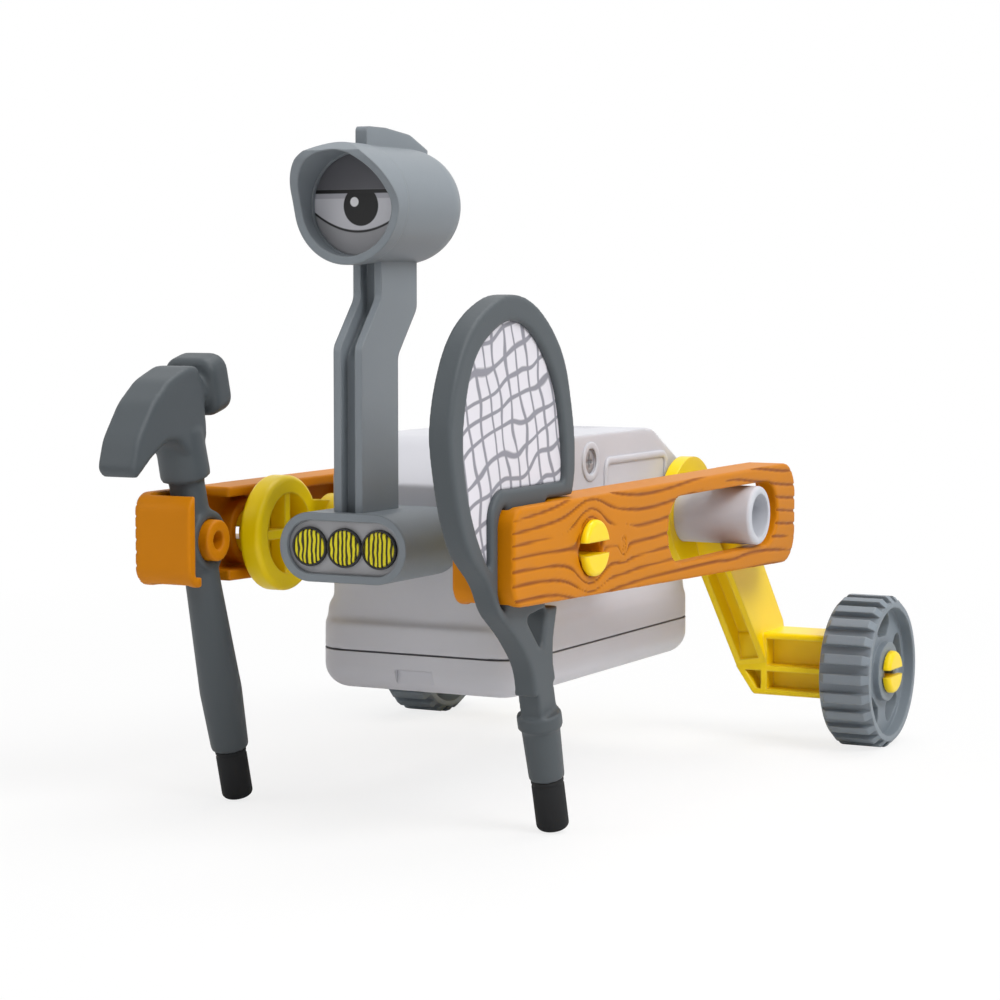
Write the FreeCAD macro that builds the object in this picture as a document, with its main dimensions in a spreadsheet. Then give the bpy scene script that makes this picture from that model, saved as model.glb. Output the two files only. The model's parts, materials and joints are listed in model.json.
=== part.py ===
import FreeCAD, Part
import math
import os
import re
from FreeCAD import Placement, Rotation, Vector

# A walking toy robot: a motor module on two wheels and two tool legs.
# Frame: +Z up, -Y to the front, +X to the robot's left, ground at Z = 0.
# The origin lies on the ground under the middle of the robot's outline.

SIZES = {
    # Places along the robot, measured from the rear axle.
    "axle_back": 78.1,            # rear axle behind the origin
    "tube_ahead": 33.5,           # guide tubes ahead of the rear axle
    "shaft_ahead": 99.6,          # drive shaft ahead of the rear axle
    "crank_throw": 20.5,          # crank pin ahead of the drive shaft
    "peg_ahead": 21.4,            # tool peg ahead of the crank pin
    "shaft_height": 56.9,
    "fit": 0.08,                  # running clearance of pins in their bores
    "gap": 0.4,                   # clearance between sliding or passing pieces
    "joint_gap": 0.3,
    # Motor module.
    "module_wide": 49.0,
    "module_front": 115.6,        # ahead of the rear axle
    "module_rear": 23.4,
    "module_floor": 23.5,
    "module_split": 32.0,         # parting line of the battery cover
    "module_waist": 38.0,
    "module_shoulder": 43.6,      # the wide lower body ends here
    "module_top": 77.0,
    "module_wall": 1.8,
    "waist_inset": 1.4,           # front and rear of the upper body
    "tower_inset": 2.4,           # sides of the upper body
    "mid_inset": 0.5,             # sides of the body above its waist
    "shoulder_round": 3.5,
    "cover_corner": 7.0,
    "cover_round": 5.25,           # lower edge
    "cover_wall": 2.9,
    "top_slope": 20.0,
    "slope_run": 15.0,            # front slope, seen from the side
    "eaves_drop": 11.0,           # wall tops below the roof
    "roof_round": 12.0,
    "eaves_round": 4.0,
    "latch_wide": 9.0,
    "latch_high": 5.0,
    "latch_deep": 1.2,
    "tray_thick": 1.5,
    "tray_gap": 1.1,              # cells to the tray above them
    "tray_play": 0.1,             # tray to the walls
    "battery_radius": 5.25,
    "battery_length": 43.5,
    "battery_spread": 13.0,
    "cell_play": 0.3,             # round a cell in its bay
    "nub_length": 1.0,
    "nub_radius": 1.75,
    "spring_length": 4.5,
    "coil_radius": 3.15,
    "contact_thick": 0.5,
    # Motor and gears.
    "motor_wide": 15.5,
    "motor_high": 11.6,
    "motor_length": 20.0,
    "motor_gap": 1.0,             # worm to the motor
    "motor_round": 3.0,
    "motor_nose": 1.2,
    "worm_radius": 3.0,
    "worm_length": 12.0,
    "gear_radius": 9.0,
    "gear_thick": 5.0,
    "gear_hub_radius": 3.6,
    "gear_hub_long": 3.0,         # each side of the teeth
    "gear_teeth": 28.0,
    "tooth_deep": 0.8,
    "frame_wide": 26.0,
    "frame_ahead": 7.0,           # side plates ahead of the drive shaft
    "frame_behind": 36.0,
    "frame_thick": 1.6,
    "frame_bar": 2.5,             # height of the front crossbar
    "shaft_radius": 2.2,
    "flat_depth": 0.5,
    "board_thick": 1.2,
    "board_wide": 24.0,
    "board_length": 34.0,
    "board_behind": 6.0,          # board behind the middle of the switch
    "switch_ahead": 62.0,           # knob ahead of the rear axle
    "switch_travel": 3.0,
    "board_drop": 5.4,            # board below the roof
    "switch_long": 3.6,
    "switch_wide": 2.0,
    "base_half": 3.5,             # switch base
    "base_long": 10.0,
    "base_drop": 1.4,             # switch base below the roof
    "knob_proud": 0.7,
    "knob_play": 0.1,             # knob above its base
    "screw_radius": 1.3,
    "screw_head": 2.6,
    "screw_deep": 1.2,            # head below the wall face
    "screw_long": 6.0,
    "cross_half": 1.6,            # arm of the screw head cross
    "cross_wide": 0.7,
    "screw_drop": 6.0,            # screws below the module top
    "screw_step": 2.4,            # front screw below the rear one
    "screw_ahead": 76.0,          # rear screw ahead of the rear axle
    "screw_front": 6.0,           # front screw ahead of the drive shaft
    # Guide tubes.
    "tube_radius": 6.7,
    "tube_bore": 4.95,
    "tube_end": 44.9,             # outer end from the middle plane
    "tube_flange": 9.0,
    "tube_round": 0.8,
    "flange_thick": 1.2,
    # Arms.
    "arm_face": 43.5,             # outer face from the middle plane
    "arm_plate": 2.4,
    "arm_depth": 9.3,
    "arm_wall": 2.2,
    "arm_front": 12.6,            # arm ahead of the tool peg
    "arm_tail": 25.5,             # arm behind the guide tube
    "arm_top_front": 10.3,        # above the pin line
    "arm_top_rear": 10.8,
    "arm_apex": 9.0,              # highest point behind the guide tube
    "arm_round": 4.0,             # front corners
    "tail_round": 7.0,            # rear corners
    "arm_low_front": 8.8,         # below the pin line
    "arm_low_rear": 12.7,
    "slot_front": 48.3,           # slot front end ahead of the guide tube
    "slot_rear": 14.5,
    "slot_lip": 1.3,
    "slot_deep": 1.6,             # slot lip behind the plate
    "slot_gap": 0.6,              # slot to the guide tube
    "pin_radius": 5.0,
    "pin_boss": 7.3,
    "boss_deep": 6.0,             # pin boss from the outer face
    "pin_head": 5.7,
    "pin_slit": 2.6,
    "pin_sink": 0.8,              # pin into its ring
    "pin_nose": 1.5,              # split head beyond the face
    "nose_play": 0.16,            # split head from the face
    "slit_deep": 6.5,             # slit from the outer face
    "shank_room": 8.4,            # flanges start this far behind the tool peg
    "clip_reach": 13.5,           # clip's depth inward from the arm's outer face
    "clip_thick": 2.4,
    "clip_lip": 2.0,
    "clip_low": 0.6,              # clip below the arm at its front
    "lip_deep": 2.2,
    "peg_radius": 4.3,
    "peg_bore": 1.9,
    "peg_wall": 2.0,              # closed end of the peg bore
    "peg_length": 12.3,           # from the arm's outer face
    # Cranks.
    "ring_inner": 27.4,           # inner face from the middle plane
    "ring_wide": 5.1,
    "ring_radius": 12.25,
    "ring_hole": 8.6,
    "ring_round": 1.2,
    "rib_thick": 2.0,
    "rib_sink": 0.5,              # ribs behind the ring's faces
    "crank_hub": 7.0,
    "link_half": 5.6,             # crank link at the shaft
    "link_grow": 1.5,             # wider at the ring
    "link_edge": 1.6,
    "crank_clear": 1.0,           # crank hub from the upper body
    "crank_web": 2.4,
    "hammer_plane": 36.9,         # from the middle plane
    "racket_plane": 38.1,         # from the middle plane
    # Tools.
    "tool_tilt": 15.1,            # degrees, the top leans forward
    "tool_thick": 4.8,
    "eye_radius": 6.3,
    "eye_half": 3.8,              # half length of a tool eye
    "peg_fit": 0.04,              # clearance of a tool on its peg
    "racket_half": 25.7,
    "racket_top": 51.3,
    "racket_rim": 5.0,
    "opening_end": 55.0,          # lower end of the opening, below its top
    "racket_bar": 2.9,
    "string_thick": 1.2,
    "string_sink": 1.2,           # string panel behind the outer face
    "channel_play": 1.2,          # racket to the arm's flanges
    "grip_half": 3.5,
    "grip_high": 25.0,            # grip's top below the peg
    "grip_cut": 5.25,             # outline cut off above the collar
    "collar_radius": 4.5,
    "collar_top": 33.0,           # below the peg
    "collar_high": 3.0,
    "throat_low": 20.8,           # below the peg
    "throat_round": 0.8,
    "ferrule_radius": 3.9,
    "foot_radius": 3.3,
    "foot_flare": 0.06,           # wider at the ground
    "foot_top": 47.0,             # below the peg
    "hammer_thick": 9.0,
    "head_edge": 0.6,             # rounding along the hammer head
    "handle_radius": 4.0,
    "grip_thin": 0.3,             # thinner at its top
    "grip_top": 9.4,              # thinnest place below the peg
    "swell_low": 33.8,            # thickest place below the peg
    "handle_swell": 4.5,
    "hammer_collar": 5.2,
    "hammer_collar_low": 13.5,
    "collar_draft": 0.15,
    "claw_reach": 23.2,
    "poll_radius": 6.2,
    "poll_round": 3.4,
    "poll_edge": 1.4,
    "poll_neck": 4.4,
    "poll_start": 6.5,
    "poll_end": 12.9,
    "poll_height": 30.6,
    # Rear legs and wheels.
    "leg_thick": 7.8,
    "leg_splay": 8.0,             # degrees, the lower end stands outward
    "leg_hub": 12.7,
    "hub_thick": 3.0,             # the beam below it is as thick as the leg
    "seat_fit": 0.02,             # leg hub on the guide tube
    "hub_behind": 4.2,            # hub middle behind the guide tube
    "leg_clear": 1.2,             # leg hub from the upper body
    "leg_wall": 1.5,
    "leg_rib": 1.4,
    "leg_pocket": 4.4,
    "beam_front": 8.0,
    "beam_rear": 6.0,
    "beam_low": 6.5,
    "beam_high": 8.6,
    "toe_cut": 4.5,               # slant at the foot of the beam
    "beam_top_behind": 1.9,       # top of the front line behind the hub middle
    "beam_top_drop": 7.6,         # and below the guide tube
    "back_behind": 11.7,          # top of the rear line behind the hub middle
    "back_above": 5.1,
    "pocket_start": 5.1,          # pocket below the top of the front line
    "wheel_radius": 18.0,
    "wheel_wide": 12.3,
    "wheel_inner": 53.1,
    "wheel_rim": 15.2,
    "wheel_hub": 7.0,
    "wheel_web": 3.0,
    "web_sink": 2.6,              # web behind the outer face
    "wheel_chamfer": 1.5,
    "window_inner": 8.8,
    "window_outer": 15.4,
    "window_round_in": 1.2,
    "window_round_out": 2.4,
    "window_taper": 0.7,          # inner width over outer width
    "window_half": 27.0,          # degrees
    "wheel_windows": 5.0,
    "hub_recess": 1.0,
    "tread_ribs": 24.0,
    "tread_deep": 1.5,
    "axle_radius": 3.0,
    "axle_head": 5.0,
    "axle_deep": 12.0,            # axle pin into the leg
    "axle_nose": 1.7,
    "axle_slit": 1.7,
    # Head, neck and lamps.
    "lamp_half": 14.6,
    "lamp_radius": 7.0,
    "lamp_front": 144.5,
    "lamp_depth": 23.0,
    "lamp_foot_inset": 4.8,       # narrower where it meets the module
    "lamp_rim": 1.6,
    "lamp_recess": 1.2,
    "panel_thick": 0.8,
    "lens_radius": 3.6,
    "lens_step": 8.04,
    "lens_out": 0.8,
    "lens_round": 0.5,
    "neck_half": 3.3,
    "neck_front": 142.0,
    "neck_deep": 14.5,
    "neck_sink": 3.0,             # neck into the lamp housing and the head
    "neck_shift": 7.9,
    "neck_bend_low": 97.0,
    "neck_bend_high": 106.5,
    "neck_skew": 2.0,             # rear bend below the front bend
    "neck_groove": 3.2,
    "neck_groove_deep": 2.6,
    "head_height": 125.4,
    "head_radius": 11.8,
    "head_front": 138.5,
    "head_rear": 107.9,
    "head_dome": 11.2,
    "head_wall": 1.7,
    "shell_thick": 5.1,
    "dome_thick": 3.4,
    "hood_front": 142.3,
    "brim_reach": 6.0,
    "brim_dip": 1.8,              # brim tip below the hood top
    "brim_round": 8.0,
    "brim_tip": 8.85,             # lowest point of the tip above the head middle
    "brim_tip_round": 2.0,
    "hood_grow": 0.3,             # hood beyond the shell
    "eye_radius_out": 10.2,
    "eye_thick": 1.2,
    "eye_front": 137.6,
    "fin_thick": 2.6,
    "fin_high": 3.8,
    "fin_front": 136.4,
    "fin_rear": 111.3,
}

doc = FreeCAD.newDocument("WalkingRobot")
sheet = doc.addObject("Spreadsheet::Sheet", "Sizes")
for row, (alias, value) in enumerate(SIZES.items(), start=1):
    sheet.set("A%d" % row, alias)
    sheet.set("B%d" % row, str(value))
    sheet.setAlias("B%d" % row, alias)
doc.recompute()

MM = 1.0                          # how far a cutter reaches past a face
TINY = 1e-3                       # an edge lies flat when it is thinner than this
SAME = 1e-6                       # lengths that count as equal
NOSE_ROUND = 0.6                  # share of a split head's length that is rounded
NODES = []
AXES = {
    "x": Rotation(Vector(0, 1, 0), 90),
    "y": Rotation(Vector(1, 0, 0), -90),
    "z": Rotation(),
}


def val(alias):
    """A size from the sheet."""
    return float(sheet.get(alias))


def bound(text):
    """An expression whose words are cells of the sheet."""
    return re.sub(r"[a-z][a-z_]+", lambda word: "Sizes." + word.group(0), str(text))


def bind(obj, x="0", y="0", z="0", **sizes):
    for prop, text in sizes.items():
        obj.setExpression(prop, bound(text))
    for prop, text in (("x", x), ("y", y), ("z", z)):
        obj.setExpression("Placement.Base." + prop, bound(text))
    return obj


def rod(name, radius, length, axis, x="0", y="0", z="0"):
    """A cylinder from (x, y, z) along an axis."""
    obj = doc.addObject("Part::Cylinder", name)
    obj.Placement = Placement(Vector(), AXES[axis])
    return bind(obj, x, y, z, Radius=radius, Height=length)


def block(name, long_x, long_y, long_z, x="0", y="0", z="0"):
    """A box whose low corner is (x, y, z)."""
    obj = doc.addObject("Part::Box", name)
    return bind(obj, x, y, z, Length=long_x, Width=long_y, Height=long_z)


def fuse(name, *shapes):
    obj = doc.addObject("Part::MultiFuse", name)
    obj.Shapes = list(shapes)
    obj.Refine = True
    return obj


def cut(name, base, tool):
    obj = doc.addObject("Part::Cut", name)
    obj.Base = base
    obj.Tool = tool
    obj.Refine = True
    return obj


def node(obj, name):
    """Keeps an object as a sub-part under its own name."""
    obj.Label = name
    NODES.append(obj)
    return obj


def solid_node(name, shape):
    """A sub-part whose shape is worked out from the sheet."""
    obj = doc.addObject("Part::Feature", name)
    obj.Shape = shape.removeSplitter()
    return node(obj, name)


def corner_wire(points, place):
    """A closed outline of (a, b) or (a, b, corner radius) points."""
    marks = [tuple(point) + (0.0,) * (3 - len(point)) for point in points]
    ends = []
    arcs = []
    for index, (a, b, radius) in enumerate(marks):
        here = Vector(a, b, 0)
        before = Vector(*marks[index - 1][:2], 0) - here
        after = Vector(*marks[(index + 1) % len(marks)][:2], 0) - here
        before.normalize()
        after.normalize()
        if radius <= 0:
            ends.append((here, here))
            arcs.append(None)
            continue
        half = before.getAngle(after) / 2
        reach = radius / math.tan(half)
        middle = before + after
        middle.normalize()
        ends.append((here + before * reach, here + after * reach))
        arcs.append(here + middle * (radius / math.sin(half) - radius))
    edges = []
    for index, (enter, leave) in enumerate(ends):
        if arcs[index] is not None:
            spots = [place(spot.x, spot.y) for spot in (enter, arcs[index], leave)]
            edges.append(Part.Arc(*spots).toShape())
        following = ends[(index + 1) % len(ends)][0]
        if (following - leave).Length > SAME:
            edges.append(Part.makeLine(place(leave.x, leave.y), place(following.x, following.y)))
    return Part.Wire(Part.__sortEdges__(edges))


def slab(axis, start, end, points):
    """An outline pushed along an axis. Its two coordinates are the other axes in order."""
    places = {
        "x": lambda a, b: Vector(start, a, b),
        "y": lambda a, b: Vector(a, start, b),
        "z": lambda a, b: Vector(a, b, start),
    }
    way = {"x": Vector(1, 0, 0), "y": Vector(0, 1, 0), "z": Vector(0, 0, 1)}[axis]
    return Part.Face(corner_wire(points, places[axis])).extrude(way * (end - start))


def bar(x0, x1, y0, y1, z0, z1):
    """A box between limits in any order."""
    low = Vector(min(x0, x1), min(y0, y1), min(z0, z1))
    return Part.makeBox(abs(x1 - x0), abs(y1 - y0), abs(z1 - z0), low)


def drum(radius, axis, start, end, a, b):
    """A cylinder along an axis, with its other two coordinates in order."""
    spots = {"x": Vector(start, a, b), "y": Vector(a, start, b), "z": Vector(a, b, start)}
    ways = {"x": Vector(1, 0, 0), "y": Vector(0, 1, 0), "z": Vector(0, 0, 1)}
    way = ways[axis] * (1 if end > start else -1)
    return Part.makeCylinder(radius, abs(end - start), spots[axis], way)


def taper(radius_a, radius_b, start, end):
    """A cone about Z between two heights."""
    if abs(radius_a - radius_b) < SAME:
        return Part.makeCylinder(radius_a, end - start, Vector(0, 0, start))
    return Part.makeCone(radius_a, radius_b, end - start, Vector(0, 0, start))


def stadium(half, radius, front, rear, height, grow=0.0):
    """A lying oval block: half width, end radius, front and rear Y."""
    flat = half - radius
    body = bar(-flat, flat, front, rear, height - radius - grow, height + radius + grow)
    ends = [drum(radius + grow, "y", front, rear, side * flat, height) for side in (-1, 1)]
    return body.multiFuse(ends).removeSplitter()


def split_head(radius, x0, x1, y, z):
    """A round nose for a split snap pin."""
    nose = drum(radius, "x", x0, x1, y, z)
    edge = [e for e in nose.Edges if e.Closed and abs(e.BoundBox.XMin - x1) < TINY]
    return nose.makeFillet(abs(x1 - x0) * NOSE_ROUND, edge)


AXLE_Y = val("axle_back")
TUBE_Y = AXLE_Y - val("tube_ahead")
SHAFT_Y = AXLE_Y - val("shaft_ahead")
PIN_Y = SHAFT_Y - val("crank_throw")
PEG_Y = PIN_Y - val("peg_ahead")
LINE_Z = val("shaft_height")
SIDES = (("left", 1), ("right", -1))
# Half widths that follow from the module's own.
TOWER = val("module_wide") / 2 - val("tower_inset")
CRANK_IN = TOWER + val("crank_clear")
LEG_IN = TOWER + val("leg_clear")
# The hammer head from the side: behind the peg, above it, corner radius.
HAMMER_SIDE = (
    (-0.95, 20.7, 0.5), (-1.0, 23.0, 1.5), (-0.86, 28.2, 9.0), (-0.56, 33.6, 9.0), (-0.27, 36.3, 9.0),
    (0.04, 37.0, 6.0), (0.2, 36.2, 2.0), (0.23, 30.0, 4.0), (0.17, 21.0, 1.0), (-0.16, 19.6, 1.0),
    (-0.26, 23.2, 2.5), (-0.44, 24.6, 3.0), (-0.7, 23.0, 4.0),
)
# Half of the racket's outline and of its opening: share of the half width, height below the top.
RACKET_SIDE = (
    (0.53, -3.8), (0.83, -11.6), (0.98, -20.0), (1.0, -26.3), (0.98, -36.0), (0.87, -44.2),
    (0.66, -52.3), (0.6, -57.0), (0.47, -61.5), (0.29, -68.0), (0.18, -75.5), (0.15, -83.0),
)
OPENING_SIDE = (
    (0.54, -3.4), (0.84, -11.0), (0.98, -18.5), (1.0, -23.0), (0.96, -33.0), (0.81, -42.0), (0.5, -51.0),
)
# Corners of the gap in the racket's throat: behind the peg, above it.
THROAT_SIDE = ((-4.6, -11.0), (4.4, -12.2), (0.3, -19.9))
# Upper line of the fin: share of its length, share of its height, corner radius.
FIN_SIDE = ((1.0, 0.0, 0.4), (0.7, 0.75, 8.0), (0.3, 1.0, 8.0), (0.0, 1.0, 1.0))


def module_outline(side_inset=0.0, end_inset=0.0):
    """The motor module seen from above, less an inset at its sides and ends."""
    half = val("module_wide") / 2 - side_inset
    front = AXLE_Y - val("module_front") + end_inset
    rear = AXLE_Y - val("module_rear") - end_inset
    corner = max(val("cover_corner") - max(side_inset, end_inset), MM)
    return [(-half, front, corner), (half, front, corner), (half, rear, corner), (-half, rear, corner)]


def roof_profile(shrink):
    """The module from the side, with its sloped front and rear roof, less a wall."""
    front = AXLE_Y - val("module_front")
    rear = AXLE_Y - val("module_rear")
    low = val("module_split") - MM
    top = val("module_top")
    slope = val("top_slope")
    run = val("slope_run")
    eaves = top - val("eaves_drop") - shrink
    soft = val("roof_round")
    bend = val("eaves_round")
    return [
        (front - MM + shrink, low), (front - MM + shrink, eaves), (front + run, top - shrink, soft),
        (rear - slope, top - shrink, soft), (rear + MM - shrink, eaves, bend), (rear + MM - shrink, low),
    ]


def upper_housing():
    wall = val("module_wall")
    split = val("module_split")
    waist = val("module_waist")
    shoulder = val("module_shoulder")
    top = val("module_top")
    mid = val("mid_inset")
    ends = val("waist_inset")
    half = val("module_wide") / 2
    skirt = slab("z", split, waist, module_outline())
    middle = slab("z", waist, shoulder, module_outline(mid, ends))
    rim = [edge for edge in middle.Edges if edge.BoundBox.ZMin > shoulder - val("fit")]
    middle = middle.makeFillet(val("shoulder_round"), rim)
    tower = slab("z", waist, top, module_outline(val("tower_inset"), ends))
    outer = skirt.multiFuse([middle, tower]).common(slab("x", -half, half, roof_profile(0.0)))
    low_room = slab("z", split - MM, shoulder - wall, module_outline(mid + wall, ends + wall))
    high_room = slab("z", split - MM, top - wall, module_outline(val("tower_inset") + wall, ends + wall))
    room = low_room.fuse(high_room).common(slab("x", -half, half, roof_profile(wall)))
    shell = outer.cut(room)
    shell = shell.cut(drum(val("shaft_radius") + val("fit"), "x", -half, half, SHAFT_Y, LINE_Z))
    slot_half = val("switch_wide") / 2 + val("joint_gap")
    slot_start = AXLE_Y - val("switch_ahead") - val("switch_long") / 2 - val("joint_gap")
    slot_end = slot_start + val("switch_long") + val("switch_travel") + 2 * val("joint_gap")
    shell = shell.cut(bar(-slot_half, slot_half, slot_start, slot_end, top - wall - MM, top + MM))
    seat = TOWER - val("screw_deep")
    for spot_y, spot_z in screw_spots():
        shell = shell.cut(drum(val("screw_head") + val("gap") / 2, "x", seat, TOWER + MM, spot_y, spot_z))
        shell = shell.cut(drum(val("screw_radius"), "x", TOWER - wall - MM, TOWER, spot_y, spot_z))
    return solid_node("upper_housing", shell)


def screw_spots():
    """Where the module's screws sit on its left side."""
    height = val("module_top") - val("screw_drop")
    front = SHAFT_Y - val("screw_front")
    return [(AXLE_Y - val("screw_ahead"), height), (front, height - val("screw_step"))]


def screw_slit(floor, spot_y, spot_z, half_y, half_z):
    """One slit of a screw head's cross."""
    return bar(floor, TOWER, spot_y - half_y, spot_y + half_y, spot_z - half_z, spot_z + half_z)


def housing_screws():
    seat = TOWER - val("screw_deep")
    face = TOWER - val("gap") / 2
    arm_half = val("cross_half")
    slit_half = val("cross_wide") / 2
    shapes = []
    for spot_y, spot_z in screw_spots():
        head = drum(val("screw_head"), "x", seat, face, spot_y, spot_z)
        shank = drum(val("screw_radius"), "x", seat - val("screw_long"), seat, spot_y, spot_z)
        floor = face - val("cross_wide")
        cross = screw_slit(floor, spot_y, spot_z, arm_half, slit_half)
        across = screw_slit(floor, spot_y, spot_z, slit_half, arm_half)
        shapes.append(head.fuse(shank).cut(cross.fuse(across)).removeSplitter())
    return solid_node("housing_screws", Part.makeCompound(shapes))


def battery_cover():
    floor = val("module_floor")
    split = val("module_split")
    wall = val("module_wall")
    tub = slab("z", floor, split, module_outline())
    low = [edge for edge in tub.Edges if edge.BoundBox.ZMax < floor + val("fit")]
    tub = tub.makeFillet(val("cover_round"), low)
    room = slab("z", floor + wall, split + MM, module_outline(val("cover_wall"), val("cover_wall")))
    front = AXLE_Y - val("module_front")
    half = val("latch_wide") / 2
    latch = bar(-half, half, front - MM, front + val("latch_deep"), floor - MM, floor + val("latch_high"))
    return solid_node("battery_cover", tub.cut(room).cut(latch))


def tray_level():
    """The height of the tray's underside."""
    return val("module_floor") + val("module_wall") + 2 * val("battery_radius") + val("tray_gap")


def battery_tray():
    """The plate that holds the gear frame above and the batteries below."""
    clear = val("module_wall") + val("tray_play")
    outline = module_outline(val("mid_inset") + clear, val("waist_inset") + clear)
    return solid_node("battery_tray", slab("z", tray_level(), tray_level() + val("tray_thick"), outline))


def batteries():
    """Two small cells side by side, each with its nub."""
    start = "axle_back - (module_front + module_rear) / 2 - battery_length / 2"
    level = "module_floor + module_wall + battery_radius + cell_play"
    for index, side in enumerate((-1, 1), start=1):
        spread = "%d * battery_spread / 2" % side
        can = rod("Can%d" % index, "battery_radius", "battery_length", "y", spread, start, level)
        tip = start + " - nub_length"
        nub = rod("Nub%d" % index, "nub_radius", "nub_length", "y", spread, tip, level)
        node(fuse("Cell%d" % index, can, nub), "battery_%d" % index)


def contacts():
    """Sprung contact strips at both ends of the cells."""
    spread = "battery_spread + battery_radius"
    start = "axle_back - (module_front + module_rear) / 2 - battery_length / 2 - nub_length - contact_thick"
    low = "module_floor + module_wall + cell_play"
    strip = block(
        "FrontStrip", spread, "contact_thick", "2 * battery_radius",
        "0 - (" + spread + ") / 2", start, low,
    )
    node(strip, "contact_front")
    rear = "axle_back - (module_front + module_rear) / 2 + battery_length / 2"
    strip = block(
        "RearStrip", spread, "contact_thick", "2 * battery_radius",
        "0 - (" + spread + ") / 2", rear + " + spring_length", low,
    )
    coils = []
    level = "module_floor + module_wall + battery_radius + cell_play"
    for index, side in enumerate((-1, 1), start=1):
        place = "%d * battery_spread / 2" % side
        coils.append(rod("Coil%d" % index, "coil_radius", "spring_length", "y", place, rear, level))
    node(fuse("RearContact", strip, *coils), "contact_rear")


def wall_drop():
    """How far the circuit board's underside lies below the module's top."""
    return val("module_wall") + val("board_drop")


def gear_frame():
    """Two side plates, a rear web and a front crossbar that carry the shaft and the motor."""
    thick = val("frame_thick")
    half = val("frame_wide") / 2
    floor = tray_level() + val("tray_thick")
    front = SHAFT_Y - val("frame_ahead")
    rear = SHAFT_Y + val("frame_behind")
    top = val("module_top") - wall_drop()
    plates = [bar(side * half, side * (half - thick), front, rear, floor, top) for side in (-1, 1)]
    under = bar(-half, half, front, front + thick, floor, floor + val("frame_bar"))
    web = bar(-half, half, rear - thick, rear, floor, top)
    frame = plates[0].multiFuse([plates[1], under, web])
    bore = drum(val("shaft_radius") + val("fit"), "x", -half - MM, half + MM, SHAFT_Y, LINE_Z)
    return solid_node("gear_frame", frame.cut(bore))


def motor_and_worm():
    worm_z = LINE_Z - val("gear_radius") - val("worm_radius") - val("gap")
    worm_start = SHAFT_Y - val("worm_length") / 2
    worm_end = worm_start + val("worm_length")
    nose = worm_end + val("motor_gap")
    tail = nose + val("motor_nose")
    half = val("motor_wide") / 2
    high = val("motor_high") / 2
    corner = val("motor_round")
    can = slab("y", tail, tail + val("motor_length"), [
        (-half, worm_z - high, corner), (half, worm_z - high, corner),
        (half, worm_z + high, corner), (-half, worm_z + high, corner),
    ])
    solid_node("motor", can.fuse(drum(high / 2, "y", nose, tail, 0, worm_z)))
    worm = drum(val("worm_radius"), "y", worm_start, worm_end, 0, worm_z)
    step = 2 * math.pi * val("gear_radius") / val("gear_teeth")
    for index in range(int(val("worm_length") / step)):
        spot = worm_start + step * (index + 0.5)
        ring = drum(val("worm_radius") + MM, "y", spot, spot + step / 2, 0, worm_z)
        ring = ring.cut(drum(val("worm_radius") - val("tooth_deep"), "y", spot - MM, spot + step, 0, worm_z))
        worm = worm.cut(ring)
    solid_node("motor_worm", worm)


def output_gear():
    """A toothed wheel on the drive shaft above the worm."""
    teeth = int(val("gear_teeth"))
    radius = val("gear_radius")
    deep = val("tooth_deep")
    half = val("gear_thick") / 2
    blank = drum(radius, "x", -half, half, SHAFT_Y, LINE_Z)
    quarter = 2 * math.pi * radius / teeth / 4
    gap = bar(-half - MM, half + MM, SHAFT_Y - quarter, SHAFT_Y + quarter, LINE_Z + radius - deep,
              LINE_Z + radius + MM)
    gaps = []
    for index in range(teeth):
        notch = gap.copy()
        notch.rotate(Vector(0, SHAFT_Y, LINE_Z), Vector(1, 0, 0), 360.0 * index / teeth)
        gaps.append(notch)
    reach = half + val("gear_hub_long")
    hub = drum(val("gear_hub_radius"), "x", -reach, reach, SHAFT_Y, LINE_Z)
    bore = drum(val("shaft_radius"), "x", -reach - MM, reach + MM, SHAFT_Y, LINE_Z)
    return solid_node("output_gear", blank.cut(Part.makeCompound(gaps)).fuse(hub).cut(bore))


def shaft_flat(x0, x1):
    """The space above the flat at an end of the drive shaft."""
    floor = LINE_Z + val("shaft_radius") - val("flat_depth")
    reach = 2 * val("shaft_radius")
    return bar(x0, x1, SHAFT_Y - reach, SHAFT_Y + reach, floor, floor + reach)


def drive_shaft():
    """The cross shaft, with a flat at each end for its crank."""
    end = val("ring_inner") + val("crank_web")
    shape = drum(val("shaft_radius"), "x", -end, end, SHAFT_Y, LINE_Z)
    for _, side in SIDES:
        shape = shape.cut(shaft_flat(side * CRANK_IN, side * (end + MM)))
    return solid_node("drive_shaft", shape)


def electrics():
    """The circuit board under the roof, with the switch that its knob works."""
    level = val("module_top") - wall_drop()
    high = level + val("board_thick")
    half = val("board_wide") / 2
    knob_y = AXLE_Y - val("switch_ahead")
    middle = knob_y + val("switch_travel") / 2
    rear = middle + val("board_behind")
    front = rear - val("board_length")
    solid_node("circuit_board", slab("z", level, high, [
        (-half, front, MM), (half, front, MM), (half, rear, MM), (-half, rear, MM),
    ]))
    base_top = val("module_top") - val("module_wall") - val("base_drop")
    base_half = val("base_half")
    base_long = val("base_long") / 2
    base = bar(-base_half, base_half, middle - base_long, middle + base_long, high, base_top)
    solid_node("switch_base", base)
    knob_half = val("switch_wide") / 2
    long_half = val("switch_long") / 2
    solid_node("power_switch", bar(
        -knob_half, knob_half, knob_y - long_half, knob_y + long_half,
        base_top + val("knob_play"), val("module_top") + val("knob_proud"),
    ))


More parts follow.
